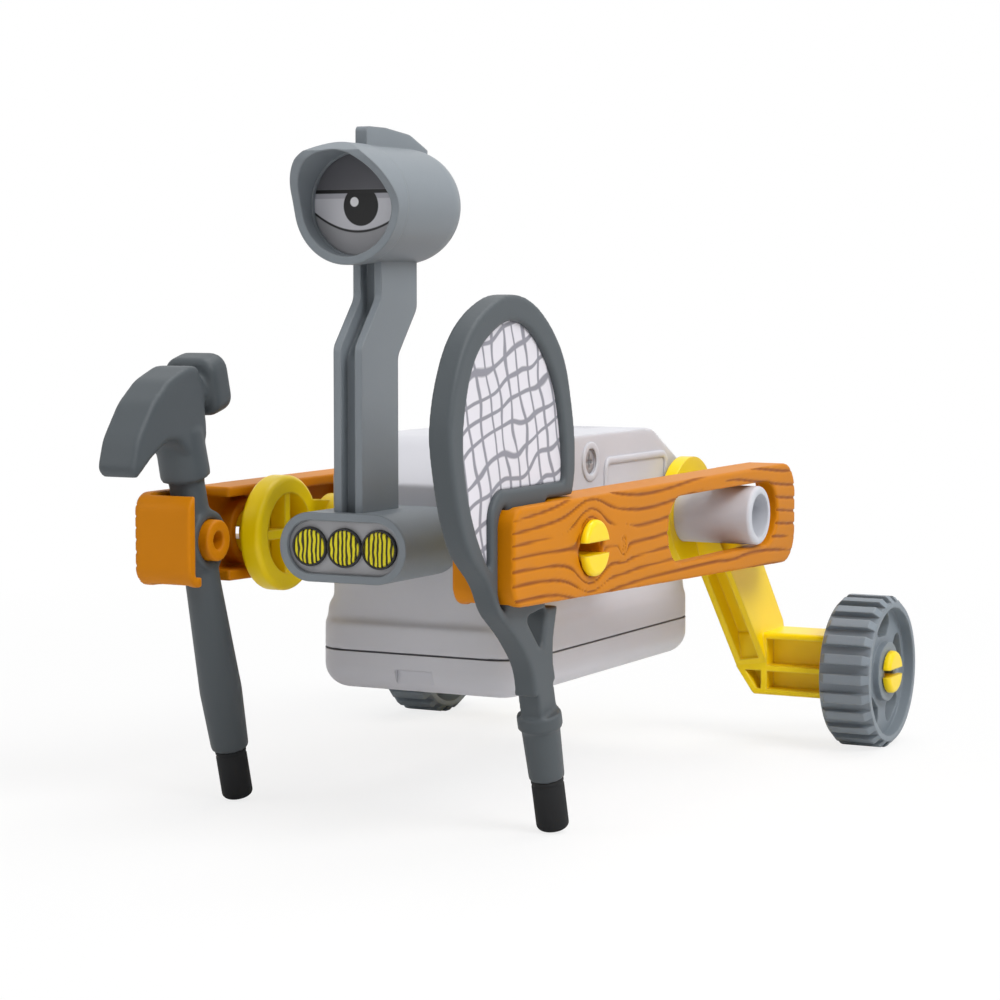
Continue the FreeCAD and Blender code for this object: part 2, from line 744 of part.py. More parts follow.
def guide_tube(name, side):
    """The hollow stub that an arm slides on, with its root flange."""
    end = val("tube_end")
    tube = drum(val("tube_radius"), "x", side * TOWER, side * end, TUBE_Y, LINE_Z)
    rim = [e for e in tube.Edges if e.Closed and abs(abs(e.BoundBox.XMin) - end) < TINY]
    tube = tube.makeFillet(val("tube_round"), rim)
    flange = drum(val("tube_flange"), "x", side * TOWER, side * (TOWER + val("flange_thick")), TUBE_Y, LINE_Z)
    bore = drum(val("tube_bore"), "x", side * (TOWER - MM), side * (end + MM), TUBE_Y, LINE_Z)
    return solid_node(name, tube.fuse(flange).cut(bore))


def arm_outline(inset=0.0):
    """The arm seen from the side, highest above the guide tube, less an inset."""
    front = PEG_Y - val("arm_front") + inset
    rear = TUBE_Y + val("arm_tail") - inset
    corner = max(val("arm_round") - inset, MM)
    tail = max(val("tail_round") - inset, MM)
    return [
        (front, LINE_Z - val("arm_low_front") + inset, corner),
        (rear, LINE_Z - val("arm_low_rear") + inset, tail),
        (rear, LINE_Z + val("arm_top_rear") - inset, tail),
        (TUBE_Y + val("arm_apex"), LINE_Z + val("arm_top_rear") - inset, 2 * tail),
        (front, LINE_Z + val("arm_top_front") - inset, corner),
    ]


def arm(name, side):
    """A channel with a guide slot, a pin bore and a tool clip at its front."""
    face = side * val("arm_face")
    plate = side * (val("arm_face") - val("arm_plate"))
    inner = side * (val("arm_face") - val("arm_depth"))
    body = slab("x", inner, face, arm_outline())
    body = body.cut(slab("x", inner - side, plate, arm_outline(val("arm_wall"))))
    # Open front for the tool's shank, then the clip that closes over it.
    front = PEG_Y - val("arm_front")
    clip_back = front + val("clip_thick")
    flange_start = PEG_Y + val("shank_room")
    low = LINE_Z - 2 * val("arm_low_rear")
    high = LINE_Z + 2 * val("arm_low_rear")
    body = body.cut(bar(inner - side, plate, front - MM, flange_start, low, high))
    clip_end = side * (val("arm_face") - val("clip_reach"))
    clip = slab("x", clip_end, plate, arm_outline())
    clip = clip.common(bar(clip_end - side, plate + side, front - MM, clip_back, low, high))
    lip_top = LINE_Z - val("arm_low_front") + val("clip_lip")
    lip = slab("x", clip_end, clip_end + side * val("clip_lip"), arm_outline())
    lip = lip.common(bar(clip_end - side, plate, front, clip_back + val("lip_deep"), low, lip_top))
    peg_end = side * (val("arm_face") - val("peg_length"))
    peg = drum(val("peg_radius"), "x", peg_end, plate, PEG_Y, LINE_Z)
    boss_end = side * (val("arm_face") - val("boss_deep"))
    boss = drum(val("pin_boss"), "x", boss_end, plate, PIN_Y, LINE_Z)
    # The slot's edge stands inward as a low lip all round.
    slot_half = val("tube_radius") + val("slot_gap")
    y0 = TUBE_Y - val("slot_front") + slot_half
    y1 = TUBE_Y + val("slot_rear") - slot_half
    edge = slot_half + val("slot_lip")
    lip_end = side * (val("arm_face") - val("arm_plate") - val("slot_deep"))
    slot_rim = bar(lip_end, plate, y0, y1, LINE_Z - edge, LINE_Z + edge)
    slot_rim = slot_rim.multiFuse([drum(edge, "x", lip_end, plate, y, LINE_Z) for y in (y0, y1)])
    slot_rim = slot_rim.common(slab("x", inner, face, arm_outline()))
    body = body.multiFuse([clip, lip, peg, boss, slot_rim])
    slot = bar(inner - side, face + side, y0, y1, LINE_Z - slot_half, LINE_Z + slot_half)
    ends = [drum(slot_half, "x", inner - side, face + side, y, LINE_Z) for y in (y0, y1)]
    body = body.cut(slot.multiFuse(ends))
    body = body.cut(drum(val("pin_radius") + val("fit"), "x", inner - side, face + side, PIN_Y, LINE_Z))
    peg_stop = plate - side * val("peg_wall")
    body = body.cut(drum(val("peg_bore"), "x", peg_end - side, peg_stop, PEG_Y, LINE_Z))
    return solid_node(name, body)


def crank(name, side):
    """Ring, cross ribs, web and hub in one moulding."""
    x0 = side * val("ring_inner")
    x1 = side * (val("ring_inner") + val("ring_wide"))
    inner = side * CRANK_IN
    web = side * (val("ring_inner") + val("crank_web"))
    ring = drum(val("ring_radius"), "x", x0, x1, PIN_Y, LINE_Z)
    rims = [e for e in ring.Edges if e.Closed and abs(e.BoundBox.XLength) < TINY]
    ring = ring.makeFillet(val("ring_round"), rims)
    hub = drum(val("crank_hub"), "x", inner, web, SHAFT_Y, LINE_Z)
    near = val("link_half")
    far = near + val("link_grow")
    edge = val("link_edge")
    link = slab("x", x0, web, [
        (PIN_Y, LINE_Z - far), (SHAFT_Y, LINE_Z - near), (SHAFT_Y, LINE_Z + near), (PIN_Y, LINE_Z + far),
    ])
    edges = []
    for way in (-1, 1):
        edges.append(slab("x", x0, x1, [
            (PIN_Y, LINE_Z + way * far), (SHAFT_Y, LINE_Z + way * near),
            (SHAFT_Y, LINE_Z + way * (near - edge)), (PIN_Y, LINE_Z + way * (far - edge)),
        ]))
    body = ring.multiFuse([hub, link] + edges)
    body = body.cut(drum(val("ring_hole"), "x", x0 - side, x1 + side, PIN_Y, LINE_Z))
    half = val("rib_thick") / 2
    reach = val("ring_hole") + val("joint_gap")
    sink = side * val("rib_sink")
    rib0 = x0 + sink
    rib1 = x1 - 2 * sink
    ribs = [
        bar(rib0, rib1, PIN_Y - reach, PIN_Y + reach, LINE_Z - half, LINE_Z + half),
        bar(rib0, rib1, PIN_Y - half, PIN_Y + half, LINE_Z - reach, LINE_Z + reach),
    ]
    body = body.multiFuse(ribs)
    bore = drum(val("shaft_radius"), "x", inner - side, web + side, SHAFT_Y, LINE_Z)
    return solid_node(name, body.cut(bore.cut(shaft_flat(inner - side, web + side))))


def crank_pin(name, side):
    """The split pin that turns in the arm and snaps behind its face."""
    start = side * (val("ring_inner") + val("ring_wide") - val("pin_sink"))
    over = side * (val("arm_face") + val("nose_play"))
    end = over + side * val("pin_nose")
    pin = drum(val("pin_radius"), "x", start, over, PIN_Y, LINE_Z)
    shape = pin.fuse(split_head(val("pin_head"), over, end, PIN_Y, LINE_Z))
    half = val("pin_slit") / 2
    reach = 2 * val("pin_head")
    slit_start = side * (val("arm_face") - val("slit_deep"))
    slit = bar(slit_start, end + side, PIN_Y - reach, PIN_Y + reach, LINE_Z - half, LINE_Z + half)
    return solid_node(name, shape.cut(slit))


def tool_place(shape, plane):
    """Moves a tool from its own frame, peg at the origin, to its arm's plane."""
    shape.rotate(Vector(), Vector(1, 0, 0), val("tool_tilt"))
    shape.translate(Vector(plane, PEG_Y, LINE_Z))
    return shape


def foot_level():
    """How far below the peg, along the tool, its foot meets the ground."""
    tilt = math.radians(val("tool_tilt"))
    return (LINE_Z - val("foot_radius") * math.sin(tilt)) / math.cos(tilt)


def foot(name, plane):
    radius = val("foot_radius")
    shape = taper(radius + val("foot_flare"), radius, -foot_level(), -val("foot_top"))
    return solid_node(name, tool_place(shape, plane))


def hammer():
    half = val("hammer_thick") / 2
    collar = val("hammer_collar")
    low = val("hammer_collar_low")
    reach = val("claw_reach")
    head = slab("x", -half, half, [(p * reach, q, corner) for p, q, corner in HAMMER_SIDE])
    sides = [edge for edge in head.Edges if edge.BoundBox.XLength < val("fit")]
    head = head.makeFillet(val("head_edge"), sides)
    ring = taper(collar, collar - val("collar_draft"), low, low + 2 * collar)
    poll_half = val("poll_radius")
    poll = slab("y", val("poll_start"), val("poll_end"), [
        (a * poll_half, val("poll_height") + b * poll_half, val("poll_round"))
        for a, b in ((-1, -1), (1, -1), (1, 1), (-1, 1))
    ])
    rims = [edge for edge in poll.Edges if edge.BoundBox.YLength < val("fit")]
    poll = poll.makeFillet(val("poll_edge"), rims)
    neck = drum(val("poll_neck"), "y", 0, val("poll_start") + MM, 0, val("poll_height"))
    grip = val("handle_radius")
    swell = val("handle_swell")
    slim = grip - val("grip_thin")
    handle = taper(slim, slim, -val("grip_top"), low + MM)
    lower = taper(swell, slim, -val("swell_low"), -val("grip_top"))
    base = taper(grip, swell, -val("foot_top"), -val("swell_low"))
    eye = drum(val("eye_radius"), "x", -val("eye_half"), val("eye_half"), 0, 0)
    body = head.multiFuse([ring, neck, poll, handle, lower, base, eye])
    bore = drum(val("peg_radius") + val("peg_fit"), "x", -2 * half, 2 * half, 0, 0)
    return solid_node("hammer", tool_place(body.cut(bore), -val("hammer_plane")))


def oval_face(half, top, marks, end):
    """A smooth closed face through marks of half width shares and drops below its top."""
    right = [Vector(0, share * half, top + drop) for share, drop in marks]
    left = [Vector(0, -spot.y, spot.z) for spot in reversed(right)]
    closing = [Vector(0, 0, top + end)] if end else []
    curve = Part.BSplineCurve()
    curve.interpolate([Vector(0, 0, top)] + right + closing + left, PeriodicFlag=True)
    return Part.Face(Part.Wire(curve.toShape()))


def racket_face():
    """The racket's outline, from its top down to the grip."""
    return oval_face(val("racket_half"), val("racket_top"), RACKET_SIDE, 0.0)


def string_face():
    """The oval inside the racket's rim."""
    rim = val("racket_rim")
    return oval_face(val("racket_half") - rim, val("racket_top") - rim, OPENING_SIDE, -val("opening_end"))


def clip_gap(side, grow):
    """The space of an arm's clip and channel round a tool, grown by a clearance."""
    inner = side * TOWER
    face = side * (val("arm_face") + MM)
    front = PEG_Y - val("arm_front")
    low = LINE_Z - val("arm_low_front") - val("clip_low") - grow
    high = LINE_Z + val("arm_top_front") + grow
    corner = val("arm_round") + grow
    back = front + 2 * corner
    window = slab("x", inner, face, [
        (front - grow, low, corner), (back, low), (back, high), (front - grow, high, corner),
    ])
    window = window.common(bar(inner, face, front - grow, front + val("clip_thick") + grow, low, high))
    channel = bar(inner, face, PEG_Y + val("shank_room") - val("channel_play"), TUBE_Y, low - MM, high)
    return window, channel


def racket():
    half = val("tool_thick") / 2
    plane = val("racket_plane")
    core = racket_face().extrude(Vector(2 * half, 0, 0))
    core.translate(Vector(-half, 0, 0))
    grip = val("grip_half")
    end = -val("collar_top")
    core = core.cut(bar(-2 * half, 2 * half, -2 * grip, 2 * grip, 2 * end, end + val("grip_cut")))
    hole = string_face().extrude(Vector(2 * half + 2 * MM, 0, 0))
    hole.translate(Vector(-half - MM, 0, 0))
    frame = core.cut(hole)
    low = val("throat_low")
    soft = val("throat_round")
    throat = slab("x", -half - MM, half + MM, [(p, q, soft) for p, q in THROAT_SIDE])
    handle = bar(-half, half, -grip, grip, end - MM, -val("grip_high"))
    collar_low = -val("collar_top") - val("collar_high")
    collar = taper(val("collar_radius"), val("collar_radius"), collar_low, -val("collar_top"))
    wide_end = val("ferrule_radius")
    ferrule = taper(wide_end - val("joint_gap"), wide_end, -val("foot_top"), collar_low)
    frame = tool_place(frame.multiFuse([handle, collar, ferrule]), plane)
    core = tool_place(core, plane)
    # The lower face is solid round the clip: bars before, above and below it.
    wide = val("racket_bar")
    window, channel = clip_gap(1, val("gap"))
    front = PEG_Y - val("arm_front") - val("gap") - wide
    low_z = LINE_Z - low
    high_z = LINE_Z + val("arm_top_front") + val("gap") + wide
    back = PEG_Y + 2 * val("racket_half")
    near_clip = slab("x", plane - half, plane + half, [
        (front, low_z, MM), (back, low_z), (back, high_z), (front, high_z, 2 * wide),
    ])
    frame = frame.fuse(core.common(near_clip))
    frame = frame.cut(window).cut(channel).cut(tool_place(throat, plane))
    frame = frame.cut(drum(val("peg_radius") + val("peg_fit"), "x", TOWER, 2 * plane, PEG_Y, LINE_Z))
    solids = sorted(frame.Solids, key=lambda piece: piece.Volume)
    solid_node("racket_frame", solids[-1])
    thin = val("string_thick")
    panel = string_face().extrude(Vector(thin, 0, 0))
    panel.translate(Vector(half - thin - val("string_sink"), 0, 0))
    panel = tool_place(panel, plane).cut(near_clip)
    panels = sorted(panel.Solids, key=lambda piece: piece.Volume)
    solid_node("racket_strings", panels[-1])


def leg(name, side):
    """Hub round the guide tube, a splayed channel beam and an outboard axle beam."""
    inner = LEG_IN
    thick = val("leg_thick")
    axle_z = val("wheel_radius")
    hub_y = TUBE_Y + val("hub_behind")
    radius = val("leg_hub")
    hub = drum(radius, "x", inner, inner + val("hub_thick"), hub_y, LINE_Z)
    front = AXLE_Y - val("beam_front")
    rear = AXLE_Y + val("beam_rear")
    low = axle_z - val("beam_low")
    high = axle_z + val("beam_high")
    # Front line of the beam: from the hub's foot to the knee over the axle beam.
    top_y = hub_y + val("beam_top_behind")
    top_z = LINE_Z - val("beam_top_drop")
    beam = slab("x", inner, inner + thick, [
        (top_y, top_z), (front, axle_z), (AXLE_Y - MM, low, MM), (rear, low, 2 * MM), (rear, high, MM),
        (hub_y + 2 * radius, LINE_Z - radius, MM),
        (hub_y + val("back_behind"), LINE_Z + val("back_above")),
    ])
    rib = val("leg_rib") / 2
    wall = val("leg_wall")
    depth = val("leg_pocket")
    along = Vector(0, front - top_y, axle_z - top_z)
    along.normalize()
    across = Vector(0, -along.z, along.y) * depth
    upper = Vector(0, top_y, top_z) + along * val("pocket_start")
    lower = Vector(0, front, axle_z) - along * 2 * rib
    outside = (upper - across, lower - across, lower + across, upper + across)
    pocket = slab("x", inner + wall, inner + thick - wall, [(spot.y, spot.z) for spot in outside])
    beam = beam.cut(pocket)
    beam.rotate(Vector(inner, TUBE_Y, LINE_Z), Vector(0, 1, 0), -val("leg_splay"))
    foot_x = inner + math.tan(math.radians(val("leg_splay"))) * (LINE_Z - axle_z)
    end_x = val("wheel_inner") - val("gap")
    axle_beam = slab("x", foot_x, end_x, [
        (front, low, MM), (rear, low, 2 * MM), (rear, high, MM), (front, high, MM),
    ])
    body = hub.multiFuse([beam, axle_beam])
    for z0, z1 in ((low + wall, axle_z - rib), (axle_z + rib, high - wall)):
        beam_end = foot_x + thick
        body = body.cut(bar(beam_end, end_x - wall, front - MM, front + depth, z0, z1))
    # The foot is cut at a slant, and its own pocket keeps a wall's width from the slant.
    toe = foot_x + val("toe_cut")
    lean = val("toe_cut") / val("beam_low")
    shift = wall * math.hypot(1, lean)
    pocket_top = axle_z - rib
    pocket_low = low + wall
    body = body.cut(slab("y", front - MM, front + depth, [
        (foot_x + lean * rib + shift, pocket_top), (foot_x + thick - wall, pocket_top),
        (foot_x + thick - wall, pocket_low), (toe - lean * wall + shift, pocket_low),
    ]))
    body = body.cut(slab("y", front - MM, rear + MM, [
        (foot_x - MM, axle_z), (foot_x, axle_z), (toe, low), (toe, low - MM), (foot_x - MM, low - MM),
    ]))
    seat = val("seat_fit")
    body = body.cut(drum(val("tube_radius") + seat, "x", inner - MM, inner + thick + MM, TUBE_Y, LINE_Z))
    body = body.cut(bar(0, inner, TUBE_Y - 2 * radius, AXLE_Y + 2 * radius, 0, LINE_Z + 2 * radius))
    body = body.cut(drum(val("axle_radius"), "x", end_x - val("axle_deep"), end_x + MM, AXLE_Y, axle_z))
    if side < 0:
        body = body.mirror(Vector(), Vector(1, 0, 0))
    return solid_node(name, body)


def wheel_pin(name, side):
    """The split axle pin, held in the leg's beam with the wheel turning on it."""
    start = val("wheel_inner") - val("gap") - val("axle_deep")
    nose = val("wheel_inner") + val("wheel_wide") - val("hub_recess") + val("joint_gap")
    end = nose + val("axle_nose")
    level = val("wheel_radius")
    pin = drum(val("axle_radius"), "x", side * start, side * nose, AXLE_Y, level)
    head = split_head(val("axle_head"), side * nose, side * end, AXLE_Y, level)
    half = val("axle_slit") / 2
    reach = 2 * val("axle_head")
    slit_start = nose - val("axle_head")
    slit = bar(
        side * slit_start, side * (end + MM), AXLE_Y - reach, AXLE_Y + reach, level - half, level + half,
    )
    return solid_node(name, pin.fuse(head).cut(slit))


def wheel(name, side):
    """Tread with cross ribs, a dished web with windows and a hub."""
    radius = val("wheel_radius")
    inner = val("wheel_inner")
    outer = inner + val("wheel_wide")
    centre = (AXLE_Y, radius)
    pivot = Vector(0, AXLE_Y, radius)
    tyre = drum(radius, "x", inner, outer, *centre)
    rims = [e for e in tyre.Edges if e.Closed and abs(e.BoundBox.XLength) < TINY]
    tyre = tyre.makeChamfer(val("wheel_chamfer"), rims)
    ribs = int(val("tread_ribs"))
    quarter = 2 * math.pi * radius / ribs / 4
    notch = bar(inner - MM, outer + MM, AXLE_Y - quarter, AXLE_Y + quarter,
                2 * radius - val("tread_deep"), 2 * radius + MM)
    notches = []
    for index in range(ribs):
        turned = notch.copy()
        turned.rotate(pivot, Vector(1, 0, 0), 360.0 * (index + 0.5) / ribs)
        notches.append(turned)
    tyre = tyre.cut(Part.makeCompound(notches))
    rim = val("wheel_rim")
    tyre = tyre.cut(drum(rim, "x", inner - MM, outer + MM, *centre))
    web_end = outer - val("web_sink")
    web = drum(rim + val("fit"), "x", web_end - val("wheel_web"), web_end, *centre)
    hub = drum(val("wheel_hub"), "x", inner, outer - val("hub_recess"), *centre)
    windows = int(val("wheel_windows"))
    half = math.radians(val("window_half"))
    near = val("window_inner")
    far = val("window_outer")
    corners = []
    small = val("window_round_in")
    large = val("window_round_out")
    slim = val("window_taper")
    edges = ((near, -slim, small), (far, -1, large), (far, 1, large), (near, slim, small))
    for reach, share, corner in edges:
        angle = share * half
        corners.append((AXLE_Y + reach * math.sin(angle), radius + reach * math.cos(angle), corner))
    hole = slab("x", inner, outer, corners)
    holes = []
    for index in range(windows):
        turned = hole.copy()
        turned.rotate(pivot, Vector(1, 0, 0), 360.0 * index / windows)
        holes.append(turned)
    body = tyre.multiFuse([web, hub]).cut(Part.makeCompound(holes))
    body = body.cut(drum(val("axle_radius") + val("fit"), "x", inner - MM, outer + MM, *centre))
    if side < 0:
        body = body.mirror(Vector(), Vector(1, 0, 0))
    return solid_node(name, body)


def lamp_unit():
    """Lamp housing with its recessed panel and three ribbed lenses."""
    half = val("lamp_half")
    radius = val("lamp_radius")
    front = AXLE_Y - val("lamp_front")
    rear = front + val("lamp_depth")
    wall_y = AXLE_Y - val("module_front") + val("waist_inset")
    shell = stadium(half, radius, front, rear, LINE_Z)
    rim = val("lamp_rim")
    thin = val("panel_thick")
    panel_y = front + val("lamp_recess")
    block_half = half - val("lamp_foot_inset")
    foot_block = bar(-block_half, block_half, rear, wall_y, LINE_Z - radius + rim, LINE_Z + radius - rim)
    recess = stadium(half - rim, radius - rim, front - MM, panel_y + thin, LINE_Z)
    # The neck's foot stands in a socket in the top.
    neck_y = AXLE_Y - val("neck_front")
    neck_half = val("neck_half")
    neck_low = LINE_Z + radius - val("neck_sink")
    socket = bar(-neck_half, neck_half, neck_y, neck_y + val("neck_deep"), neck_low, LINE_Z + radius + MM)
    solid_node("lamp_housing", shell.fuse(foot_block).cut(recess).cut(socket))
    panel = stadium(half - rim, radius - rim, panel_y, panel_y + thin, LINE_Z)
    spots = [("right", -1), ("middle", 0), ("left", 1)]
    lens_y = panel_y - val("lens_out")
    seats = []
    lenses = []
    for _, way in spots:
        place = way * val("lens_step")
        seats.append(drum(val("lens_radius"), "y", panel_y - MM, panel_y + MM, place, LINE_Z))
        lenses.append(drum(val("lens_radius"), "y", lens_y, panel_y + thin, place, LINE_Z))
    solid_node("lamp_panel", panel.cut(Part.makeCompound(seats)))
    for (word, _), lens in zip(spots, lenses):
        edge = [e for e in lens.Edges if e.Closed and abs(e.BoundBox.YMax - lens_y) < TINY]
        solid_node("lamp_lens_" + word, lens.makeFillet(val("lens_round"), edge))


def neck_outline():
    front = AXLE_Y - val("neck_front")
    rear = front + val("neck_deep")
    shift = val("neck_shift")
    foot_z = LINE_Z + val("lamp_radius") - val("neck_sink")
    top_z = val("head_height") - val("head_radius") + val("neck_sink")
    low = val("neck_bend_low")
    high = val("neck_bend_high")
    skew = val("neck_skew")
    corner = val("neck_sink")
    return [
        (front, foot_z), (rear, foot_z), (rear, low - skew, corner), (rear + shift, high - skew, corner),
        (rear + shift, top_z), (front + shift, top_z), (front + shift, high, corner), (front, low, corner),
    ]


def neck():
    half = val("neck_half")
    post = slab("x", -half, half, neck_outline())
    groove = val("neck_groove") / 2
    inner = slab("x", -groove, groove, neck_outline())
    inner.translate(Vector(0, val("neck_groove_deep") - val("neck_deep"), 0))
    return solid_node("neck", post.cut(inner))


def head():
    """Shell with a rear dome and a fin, the hood with its brim, and the eye disc."""
    radius = val("head_radius")
    height = val("head_height")
    wall = val("head_wall")
    front = AXLE_Y - val("head_front")
    rear = AXLE_Y - val("head_rear")
    hood_front = AXLE_Y - val("hood_front")
    eye_y = AXLE_Y - val("eye_front")
    shell = drum(radius, "y", front, rear, 0, height)
    rear_edge = [e for e in shell.Edges if e.Closed and abs(e.BoundBox.YMin - rear) < TINY]
    shell = shell.makeFillet(val("head_dome"), rear_edge)
    fin_half = val("fin_thick") / 2
    fin_front = AXLE_Y - val("fin_front")
    fin_rear = AXLE_Y - val("fin_rear")
    crest = height + radius
    fin_foot = height + radius - val("fin_high")
    run = fin_rear - fin_front
    upper = [(fin_front + run * p, crest + val("fin_high") * q, corner) for p, q, corner in FIN_SIDE]
    fin = slab("x", -fin_half, fin_half, [(fin_front, fin_foot), (fin_rear, fin_foot)] + upper)
    sink = val("neck_sink")
    neck_half = val("neck_half")
    socket_y = AXLE_Y - val("neck_front") + val("neck_shift")
    low_z = height - radius
    socket = bar(-neck_half, neck_half, socket_y, socket_y + val("neck_deep"), low_z - MM, low_z + sink)
    room = drum(radius - val("shell_thick"), "y", front - MM, rear - val("dome_thick"), 0, height)
    room = room.cut(bar(-radius, radius, front - MM, rear + MM, low_z - MM, low_z + sink + wall))
    seat_back = eye_y + val("eye_thick")
    pocket = drum(val("eye_radius_out"), "y", front - MM, seat_back, 0, height)
    solid_node("head_shell", shell.fuse(fin).cut(room).cut(socket).cut(pocket))
    hood_radius = radius + val("hood_grow")
    tip = hood_front - val("brim_reach")
    hood = drum(hood_radius, "y", tip, front, 0, height)
    # Seen from the side, the brim sweeps forward over the eye and dips at its tip.
    sweep = slab("x", -2 * radius, 2 * radius, [
        (front + MM, height - 2 * radius), (hood_front, height - 2 * radius),
        (hood_front, height, val("brim_round")), (tip, height + val("brim_tip"), val("brim_tip_round")),
        (tip, height + hood_radius - val("brim_dip")),
        (hood_front, height + hood_radius + MM), (front + MM, height + hood_radius + MM),
    ])
    opening = drum(hood_radius - wall, "y", tip - MM, front, 0, height)
    solid_node("visor_hood", hood.common(sweep).cut(opening))
    solid_node("eye_disc", drum(val("eye_radius_out"), "y", eye_y, seat_back, 0, height))


upper_housing()
battery_cover()
battery_tray()
batteries()
contacts()
gear_frame()
motor_and_worm()
output_gear()
drive_shaft()
electrics()
housing_screws()
for word, side in SIDES:
    guide_tube(word + "_guide_tube", side)
    arm(word + "_arm", side)
    crank(word + "_crank", side)
    crank_pin(word + "_crank_pin", side)
    leg(word + "_leg", side)
    wheel(word + "_wheel", side)
    wheel_pin(word + "_wheel_pin", side)
hammer()
foot("hammer_foot", -val("hammer_plane"))
racket()
foot("racket_foot", val("racket_plane"))
lamp_unit()
neck()
head()

doc.recompute()
for obj in doc.Objects:
    if "Invalid" in obj.State or "Error" in obj.State:
        raise RuntimeError("object failed: " + obj.Name)
os.makedirs("parts", exist_ok=True)
for obj in NODES:
    if obj.Shape.isNull() or not obj.Shape.isValid():
        raise RuntimeError("bad shape: " + obj.Label)
    obj.Shape.exportStep("parts/%s.step" % obj.Label)
    box = obj.Shape.BoundBox
    print("%-18s solids %d  X %.1f %.1f  Y %.1f %.1f  Z %.1f %.1f" % (
        obj.Label, len(obj.Shape.Solids), box.XMin, box.XMax, box.YMin, box.YMax, box.ZMin, box.ZMax))
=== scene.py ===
import bpy
import bmesh
import json
import math
from mathutils import Matrix, Vector, noise


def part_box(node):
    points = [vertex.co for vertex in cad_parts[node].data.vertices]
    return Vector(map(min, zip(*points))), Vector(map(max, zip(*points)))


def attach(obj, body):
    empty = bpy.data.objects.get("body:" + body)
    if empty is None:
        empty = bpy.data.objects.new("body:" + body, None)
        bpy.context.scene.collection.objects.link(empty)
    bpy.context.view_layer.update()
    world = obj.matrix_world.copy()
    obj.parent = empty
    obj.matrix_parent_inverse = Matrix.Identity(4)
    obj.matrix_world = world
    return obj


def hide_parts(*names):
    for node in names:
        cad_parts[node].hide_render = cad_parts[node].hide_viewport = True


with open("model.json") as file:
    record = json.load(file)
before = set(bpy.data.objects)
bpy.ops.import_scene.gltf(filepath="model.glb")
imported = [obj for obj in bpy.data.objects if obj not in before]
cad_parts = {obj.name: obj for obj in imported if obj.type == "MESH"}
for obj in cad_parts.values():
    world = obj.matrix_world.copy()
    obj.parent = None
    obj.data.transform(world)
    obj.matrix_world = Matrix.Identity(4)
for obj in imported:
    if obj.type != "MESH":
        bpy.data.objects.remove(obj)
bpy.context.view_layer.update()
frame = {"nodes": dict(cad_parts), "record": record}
MM = 0.001

# Places that the source of the solids gives, in millimetres and degrees.
PIN_Y = -42.0
PEG_Y = -63.4
LINE_Z = 56.9
TOWER = 22.1
ARM_FACE = 43.5
TOOL_TILT = 15.1
HAMMER_PLANE = -36.9
RACKET_PLANE = 38.1
HEAD_Z = 125.4
PARTING_Z = 32.0

# Camera read from the photograph: place in millimetres, turn and pitch in degrees.
CAMERA_AT = (274.72, -528.15, 109.09)
CAMERA_TURN = 27.39
CAMERA_PITCH = 4.528
FOCAL_PIXELS = 2699.66
SENSOR = 36.0
IMAGE = 1000.0
CLIP_END = 50.0

# Plain colours, as display values from 0 to 255.
COLOURS = {
    "white_shell": (206, 206, 212),
    "tube_plastic": (200, 202, 209),
    "inner_plastic": (205, 205, 210),
    "cell": (40, 96, 60),
    "spring_steel": (190, 190, 192),
    "steel": (180, 180, 184),
    "motor_steel": (176, 177, 180),
    "gear_plastic": (230, 230, 224),
    "board": (34, 92, 52),
    "black_plastic": (26, 26, 28),
    "orange_plastic": (201, 123, 0),
    "yellow_plastic": (250, 215, 2),
    "wheel_plastic": (126, 135, 143),
    "slate_plastic": (76, 82, 86),
    "foot_rubber": (22, 23, 25),
    "string_sheet": (222, 219, 226),
    "grey_plastic": (128, 135, 141),
    "panel_plastic": (168, 168, 171),
    "lens_plastic": (232, 218, 30),
    "eye_sheet": (160, 160, 164),
    "rim_black": (24, 24, 26),
}
# Colours laid over materials: print and dark lines, and painted shade for the raised grip dots on the
# roof.
PRINT_AND_SHADE_COLOURS = {
    "groove": (128, 62, 6),
    "string": (140, 139, 148),
    "eye_pale": (206, 206, 212),
    "eye_shade": (176, 176, 184),
    "pupil": (14, 14, 16),
    "glint": (235, 235, 238),
    "lid_edge": (22, 22, 24),
    "lid": (92, 92, 97),
    "lash": (30, 30, 32),
    "stripe": (52, 47, 6),
    "seam": (96, 96, 104),
    # Painted shade: the raised grip dots on the roof are darkened to stand in for their shading.
    "dot_painted_shade": (150, 150, 158),
}
DISPLAY_TOP = 255.0
WHITE = (1.0, 1.0, 1.0, 1.0)

# The display curve: a straight toe, then a shifted power.
TOE_END = 0.04045
TOE_SLOPE = 12.92
CURVE_SHIFT = 0.055
CURVE_POWER = 2.4

# Finish: a material that a table leaves out takes the plain value.
PLAIN_ROUGH = 0.45
PLAIN_SHINE = 0.32
METAL_SHINE = 0.5
METALLIC = 0.9
ROUGHNESS = {
    "yellow_plastic": 0.32, "lens_plastic": 0.25, "foot_rubber": 0.75, "steel": 0.3,
    "spring_steel": 0.3, "motor_steel": 0.35, "white_shell": 0.42, "slate_plastic": 0.5,
    "rim_black": 0.4,
}
METALS = ("steel", "spring_steel", "motor_steel")
SHINE = {"orange_plastic": 0.14}

# Mottling and fine grain: noise scales per metre, and shares of a material's own values.
BROAD_SCALE = 45.0
BROAD_DETAIL = 3.0
FINE_SCALE = 3200.0
FINE_DETAIL = 2.0
FINE_BUMP = 0.2
FINE_DEPTH = 0.0001
MOTTLE = 0.06
SHEEN_LOW = 0.9
SHEEN_HIGH = 1.12

# Edges: their rounding in metres, and how far and how pale the rubbing goes.
EDGE_ROUND = 0.0006
EDGE_SAMPLES = 4
RUB_STARTS = 0.99
RUB_FULL = 0.75
RUB_MOST = 0.22
RUB_PALE = 0.35

# Masks: how softly a print's edge fades, in the mask's own units.
SOFT = 0.08
CRISP = 0.01
MAP_DETAIL = 1.0
ROW_SHIFT = 40.0
MIDDLE = 0.5

